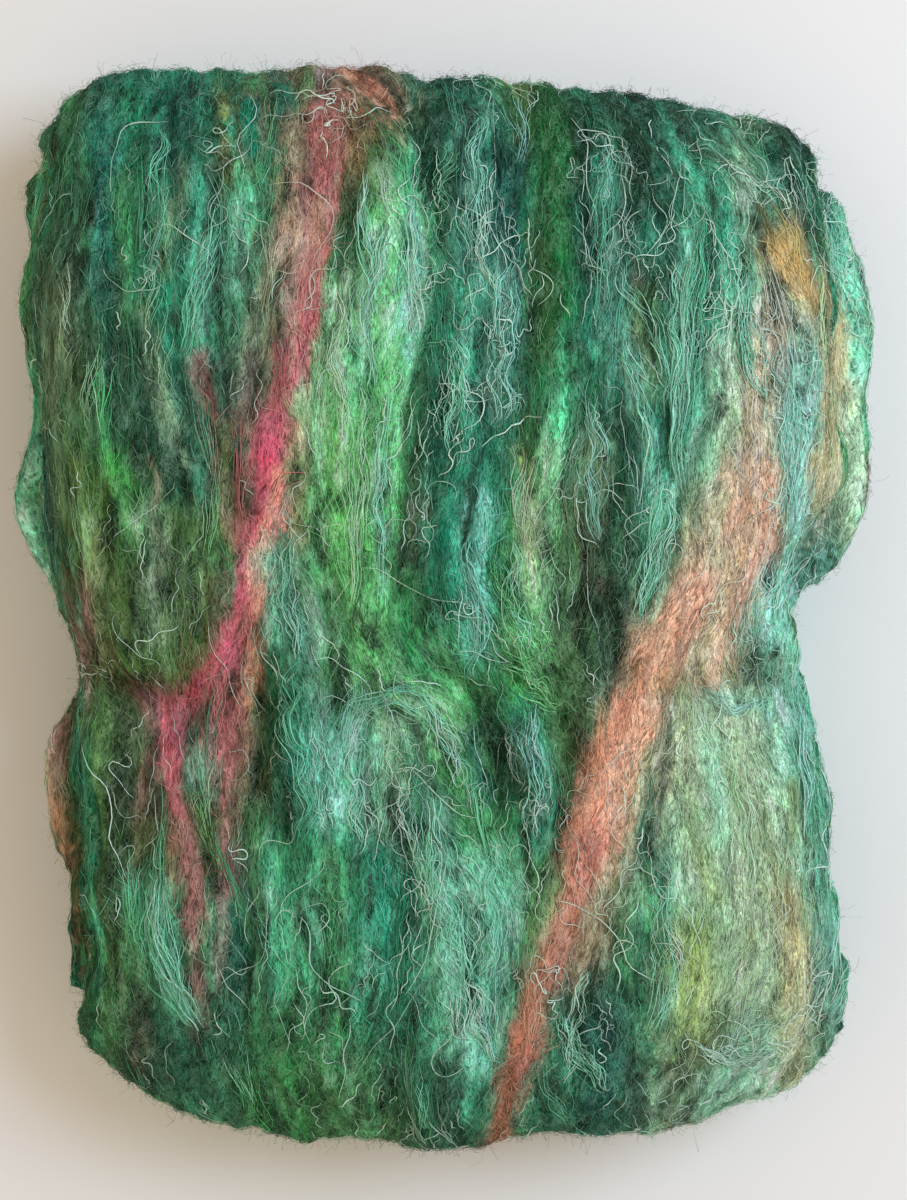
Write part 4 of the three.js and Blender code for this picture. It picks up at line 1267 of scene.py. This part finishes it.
class BATT_OT_body(Operator):
    """Builds the roll's body over its solid"""

    bl_idname = "batt.body"
    bl_label = "Batt Body"

    def execute(self, context):
        sizes = context.scene.batt_sizes
        body = finish_piece("batt_body", body_mesh(sizes), carded_wool(sizes))
        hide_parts(NODE)
        return {"FINISHED"}


def loose_share(places):
    """How densely loose fibres lie: most on the upper face, none under the foot."""
    height = places[:, 2]
    return (0.3 + ramp(height, 0.5 * HALF_THICKNESS, HALF_THICKNESS)) * ramp(height, 1 * MM, 6 * MM)


class BATT_OT_locks(Operator):
    """Lays wavy locks of wool fibre over the body"""

    bl_idname = "batt.locks"
    bl_label = "Wool Locks"

    SEED = 100
    PER_LOCK = 9
    STEPS = 9

    def execute(self, context):
        sizes = context.scene.batt_sizes
        surface = current_batt()
        rng = np.random.default_rng(self.SEED)
        count = sizes.lock_count
        whole = count * self.PER_LOCK
        start, vertex = surface.seeds(count, loose_share, rng)
        colour = shades(surface.dyes[vertex], rng, 0.35, 1.3, 1.15)
        length = sizes.lock_length * MM * rng.uniform(0.6, 1.5, count)
        heading = waves(count, self.STEPS, 0.45, rng, 1.4) + rng.normal(0, 0.12, (count, 1))
        side = np.cross(surface.ways[vertex], surface.normals[vertex])
        start, vertex, length, heading, side, colour = (
            np.repeat(a, self.PER_LOCK, 0) for a in (start, vertex, length, heading, side, colour))
        start = start + side * rng.normal(0, 0.9, (whole, 1)) * MM
        start = start + surface.ways[vertex] * rng.normal(0, 3, (whole, 1)) * MM
        place, vertex = surface.snap(start)
        heading = heading + rng.normal(0, 0.1, (whole, 1))
        length = length * rng.uniform(0.7, 1.1, whole)
        arch = np.sin(np.linspace(0, math.pi, self.STEPS + 1))[None]
        height = (-0.15 + arch * rng.uniform(0.3, 1.0, (whole, 1))) * MM
        paths = eased(walk(surface, place, vertex, self.STEPS, length / self.STEPS, heading, height), 1)
        radii = tapers(whole, self.STEPS + 1, sizes.lock_breadth, rng)
        colours = limited(colour * np.exp(rng.normal(0, 0.16, (whole, 1))))
        colours = np.repeat(colours[:, None], self.STEPS + 1, 1)
        finish_piece("wool_locks", strands(paths, radii, colours), loose_wool())
        return {"FINISHED"}


class BATT_OT_down(Operator):
    """Covers the body with short fine fibres that lie across each other"""

    bl_idname = "batt.down"
    bl_label = "Wool Down"

    SEED = 150
    STEPS = 3
    HALVES = {"wool_down_back": 1, "wool_down_front": -1}

    def execute(self, context):
        sizes = context.scene.batt_sizes
        surface = current_batt()
        for name, half in self.HALVES.items():
            rng = np.random.default_rng(self.SEED + half)
            count = sizes.down_count
            start, vertex = surface.seeds(count, lambda p: loose_share(p) * (p[:, 1] * half > 0), rng)
            length = sizes.down_length * MM * rng.uniform(0.5, 1.5, count)
            heading = rng.normal(0, 0.45, (count, 1)) + rng.normal(0, 0.3, (count, self.STEPS))
            height = rng.uniform(0, 0.9, (count, self.STEPS + 1)) * MM
            height[:, 0] = -0.1 * MM
            paths = walk(surface, start, vertex, self.STEPS, length / self.STEPS, heading, height)
            radii = tapers(count, self.STEPS + 1, sizes.down_breadth, rng)
            colours = np.repeat(shades(surface.dyes[vertex], rng, 0.3, 1.1, 1.1)[:, None], self.STEPS + 1, 1)
            finish_piece(name, strands(paths, radii, colours), loose_wool())
        return {"FINISHED"}


class BATT_OT_silk(Operator):
    """Lays silk over the body: loose curly threads, tangles and glossy locks"""

    bl_idname = "batt.silk"
    bl_label = "Silk"

    SEED = 210
    STEPS = 16
    LOCK_BREADTH = 0.17  # of one strand, in millimetres

    def execute(self, context):
        sizes = context.scene.batt_sizes
        surface = current_batt()
        rng = np.random.default_rng(self.SEED)
        parts = [self.threads(sizes, surface, rng)]
        parts += [self.tangle(sizes, surface, tangle, rng) for tangle in TANGLES]
        self.finish("silk_threads", parts, sizes.thread_breadth, rng)
        self.finish("silk_locks", [self.lock(surface, lock, rng) for lock in LOCKS],
                    self.LOCK_BREADTH, rng)
        return {"FINISHED"}

    def finish(self, name, parts, breadth, rng):
        """One piece from paths and their colours, with strands that swell and thin."""
        paths, colours = (np.concatenate(part) for part in zip(*parts))
        count, points, _ = paths.shape
        radii = tapers(count, points, breadth, rng) * rng.uniform(0.7, 1.5, (count, 1))
        radii *= np.exp(waves(count, points, 0.22, rng, 1.3))
        colours = np.repeat(colours[:, None], points, 1)
        finish_piece(name, strands(paths, radii, colours), silk())

    def colours(self, sizes, own, rng):
        """From undyed silk to silk with the dye that is under it, one colour a thread. The dyed share is
        paler: partly the weak dye of silk, partly a painted highlight as on a hair that catches the light.
        """
        share = rng.uniform(0, 0.75, (len(own), 1)) ** 1.3
        return np.array(sizes.silk_pale)[None] * (1 - share) + paler(own, np.ones((len(own), 1))) * share

    def threads(self, sizes, surface, rng):
        """Loose curly threads in clumps, with few in the felted bands."""
        count, steps = sizes.thread_count, self.STEPS

        def weight(p):
            lay = unrolled(p)
            bare = felted(seen_from_above(lay), 0.7, weighed=False)
            clumps = 0.3 + 1.3 * Grain(31)(p[:, 0] / (10 * MM) + 9, p[:, 1] / (14 * MM) + 9)
            rightward = 0.65 + 0.6 * p[:, 0] / HALF_WIDTH
            spread = np.clip(clumps, 0.03, 1.2) * rightward * (0.25 + 0.75 * upper_share(lay))
            return spread * ramp(p[:, 2], 1 * MM, 8 * MM) * (1 - 0.9 * bare)

        start, vertex = surface.seeds(count, weight, rng)
        length = sizes.thread_length * MM * np.exp(rng.normal(-0.1, 0.5, count))
        heading = waves(count, steps, 0.6, rng, 1.0) + waves(count, steps, 0.38, rng, 2.0)
        heading += rng.normal(0, 0.4, (count, 1))
        loopy = rng.random(count) < 0.15
        heading[loopy] += (np.arange(steps)[None] * rng.uniform(-0.34, 0.34, (count, 1)))[loopy]
        return self.walked(sizes, surface, start, vertex, length, heading, rng)

    def tangle(self, sizes, surface, tangle, rng):
        """Threads that turn back on themselves within one small spot."""
        count, steps = tangle.count, self.STEPS
        spot = placed([(tangle.across, tangle.along)])
        start, vertex = surface.under(spot + rng.normal(0, 0.45, (count, 2)) * tangle.radius * MM)
        length = tangle.radius * MM * rng.uniform(2.0, 4.5, count)
        heading = waves(count, steps, 1.5, rng, 1.0) + waves(count, steps, 0.7, rng, 2.6)
        curl = np.arange(steps)[None] * rng.uniform(-0.3, 0.3, (count, 1))
        heading += curl + rng.uniform(0, 6.3, (count, 1))
        return self.walked(sizes, surface, start, vertex, length, heading, rng)

    def walked(self, sizes, surface, start, vertex, length, heading, rng):
        """Threads walked over the body from their starts, and one colour for each."""
        count, steps = len(start), self.STEPS
        height = 0.3 * MM + np.abs(waves(count, steps + 1, 0.4, rng)) * MM
        height[:, 0] = height[:, -1] = -0.2 * MM
        paths = walk(surface, start, vertex, steps, length / steps, heading, height)
        return eased(paths, 1), self.colours(sizes, surface.dyes[vertex], rng)

    def draped(self, surface, flat, height):
        """Paths laid on the upper face from above, and the vertices that they lie over."""
        count, points, _ = flat.shape
        places, vertex = surface.under(flat.reshape(-1, 2))
        places = (places + surface.normals[vertex] * height.reshape(-1, 1)).reshape(count, points, 3)
        return eased(places, 1), vertex.reshape(count, points)

    def lock(self, surface, lock, rng):
        """Strands that run side by side along one given line, waving together."""
        count, points = lock.count, self.STEPS // 2 + 1
        line = placed(lock.line)
        marks = np.concatenate([[0], np.cumsum(np.linalg.norm(np.diff(line, axis=0), axis=1))])
        begin = rng.uniform(-0.05, 0.7, (count, 1))
        share = begin + np.linspace(0, 1, points)[None] * rng.uniform(0.25, 0.5, (count, 1))
        along = np.clip(share, 0, 1) * marks[-1]
        spine = np.stack([np.interp(along, marks, line[:, k]) for k in (0, 1)], 2)
        ahead = np.stack([np.interp(along + 2 * MM, marks, line[:, k]) for k in (0, 1)], 2)
        behind = np.stack([np.interp(along - 2 * MM, marks, line[:, k]) for k in (0, 1)], 2)
        run = unit(ahead - behind)
        side = np.stack([-run[:, :, 1], run[:, :, 0]], 2)
        neck = 0.45 + 0.55 * np.sin(math.pi * np.clip(share, 0, 1))
        offset = rng.normal(0, 0.3, (count, 1)) * lock.breadth * MM * neck
        wobble = Grain(int(rng.integers(1000)))
        wave = 2.6 * lock.wave * MM * wobble(along / (6 * MM) + 20, offset / (4 * MM) + 20)
        flat = spine + side * (offset + wave + waves(count, points, 0.7, rng) * MM)[:, :, None]
        arch = np.sin(np.linspace(0, math.pi, points))[None]
        height = (0.15 + arch * rng.uniform(0.3, 1.3, (count, 1))) * MM
        paths, vertex = self.draped(surface, flat, height)
        own = 0.75 * dye_colour(lock.dye)[None] + 0.25 * surface.dyes[vertex[:, 0]]
        return paths, shades(own, rng, 0.45, 1.15, 1.05)


class BATT_OT_fuzz(Operator):
    """Raises a halo of short hairs off the body"""

    bl_idname = "batt.fuzz"
    bl_label = "Fuzz"

    SEED = 320
    STEPS = 3

    def execute(self, context):
        sizes = context.scene.batt_sizes
        surface = current_batt()
        rng = np.random.default_rng(self.SEED)
        count, steps = sizes.fuzz_count, self.STEPS

        def weight(p):
            edge = 1 - ramp(p[:, 2], 1.1 * HALF_THICKNESS, 1.7 * HALF_THICKNESS)
            return (0.1 + edge) * ramp(p[:, 2], 0.3 * HALF_THICKNESS, 0.7 * HALF_THICKNESS)

        start, vertex = surface.seeds(count, weight, rng)
        length = sizes.fuzz_length * MM * np.exp(rng.normal(0, 0.4, count))
        turn = np.arange(steps)[None] * rng.normal(0, 0.7, (count, 1))
        heading = rng.uniform(0, 6.3, (count, 1)) + turn + rng.normal(0, 0.4, (count, steps))
        rise = np.array([0, 0.6, 1.0, 0.9])[None] + rng.normal(0, 0.15, (count, steps + 1))
        height = rise * np.exp(rng.normal(0.2, 0.55, (count, 1))) * MM
        height[:, 0] = -0.3 * MM
        paths = walk(surface, start, vertex, steps, length * 0.8 / steps, heading, height)
        radii = tapers(count, steps + 1, sizes.fuzz_breadth, rng)
        colours = np.repeat(shades(surface.dyes[vertex], rng, 0.3, 1.0, 1.1)[:, None], steps + 1, 1)
        finish_piece("fuzz", strands(paths, radii, colours), loose_wool())
        return {"FINISHED"}


def area_light(name, place, aim, size, power, hex_colour):
    """A soft studio light that looks at a place."""
    lamp = bpy.data.lights.new(name, "AREA")
    lamp.size = size
    lamp.energy = power
    lamp.color = linear(hex_colour)
    holder = bpy.data.objects.new(name, lamp)
    holder.location = place
    holder.rotation_euler = (Vector(aim) - Vector(place)).to_track_quat("-Z", "Y").to_euler()
    bpy.context.scene.collection.objects.link(holder)
    return holder


class BATT_OT_stage(Operator):
    """Adds the floor, the light and the camera over the batt"""

    bl_idname = "batt.stage"
    bl_label = "Stage"

    FLOOR_SIDE = 30.0
    PICTURE_HEIGHT = 0.314
    SENSOR = 24.0
    WINDOW_PLACE = (0.85, 0.35, 0.95)
    WINDOW_SIDE = 0.7
    WINDOW_POWER = 12
    ROOM_STRENGTH = 0.72

    def execute(self, context):
        sizes = context.scene.batt_sizes
        work = bmesh.new()
        bmesh.ops.create_grid(work, x_segments=1, y_segments=1, size=self.FLOOR_SIDE / 2)
        mesh = bpy.data.meshes.new("floor")
        work.to_mesh(mesh)
        work.free()
        paper, _, shader = new_material("matt_paper")
        shader.inputs["Base Color"].default_value = (*sizes.floor, 1)
        shader.inputs["Roughness"].default_value = 0.85
        mesh.materials.append(paper)
        floor = bpy.data.objects.new("floor", mesh)
        context.scene.collection.objects.link(floor)
        middle = (0, 0, 0.03)
        area_light("window", self.WINDOW_PLACE, middle, self.WINDOW_SIDE, self.WINDOW_POWER, "#C8E2FF")
        world = bpy.data.worlds.new("soft_room")
        world.use_nodes = True
        background = world.node_tree.nodes["Background"]
        background.inputs["Color"].default_value = (*linear("#FFEBD3"), 1)
        background.inputs["Strength"].default_value = self.ROOM_STRENGTH
        context.scene.world = world
        camera = bpy.data.cameras.new("camera")
        camera.sensor_fit = "VERTICAL"
        camera.sensor_height = self.SENSOR
        camera.lens = self.SENSOR * (EYE.z - TRUE_HEIGHT) / self.PICTURE_HEIGHT
        camera.clip_start = 0.01
        holder = bpy.data.objects.new("camera", camera)
        holder.location = EYE
        context.scene.collection.objects.link(holder)
        context.scene.camera = holder
        context.scene.view_settings.view_transform = "Standard"
        return {"FINISHED"}


OPERATORS = (BATT_OT_body, BATT_OT_locks, BATT_OT_down, BATT_OT_silk, BATT_OT_fuzz, BATT_OT_stage)


class BATT_PT_panel(Panel):
    bl_label = "Batt"
    bl_idname = "BATT_PT_panel"
    bl_space_type = "VIEW_3D"
    bl_region_type = "UI"
    bl_category = "Batt"

    def draw(self, context):
        sizes = context.scene.batt_sizes
        for name in BattSizes.__annotations__:
            self.layout.prop(sizes, name)
        for operator in OPERATORS:
            self.layout.operator(operator.bl_idname)


CLASSES = (BattSizes, *OPERATORS, BATT_PT_panel)


def register():
    for cls in CLASSES:
        bpy.utils.register_class(cls)
    bpy.types.Scene.batt_sizes = PointerProperty(type=BattSizes)


def unregister():
    del bpy.types.Scene.batt_sizes
    for cls in reversed(CLASSES):
        bpy.utils.unregister_class(cls)


def main():
    register()
    bpy.ops.batt.body()
    bpy.ops.batt.locks()
    bpy.ops.batt.down()
    bpy.ops.batt.silk()
    bpy.ops.batt.fuzz()
    bpy.ops.batt.stage()


if __name__ == "__main__":
    main()
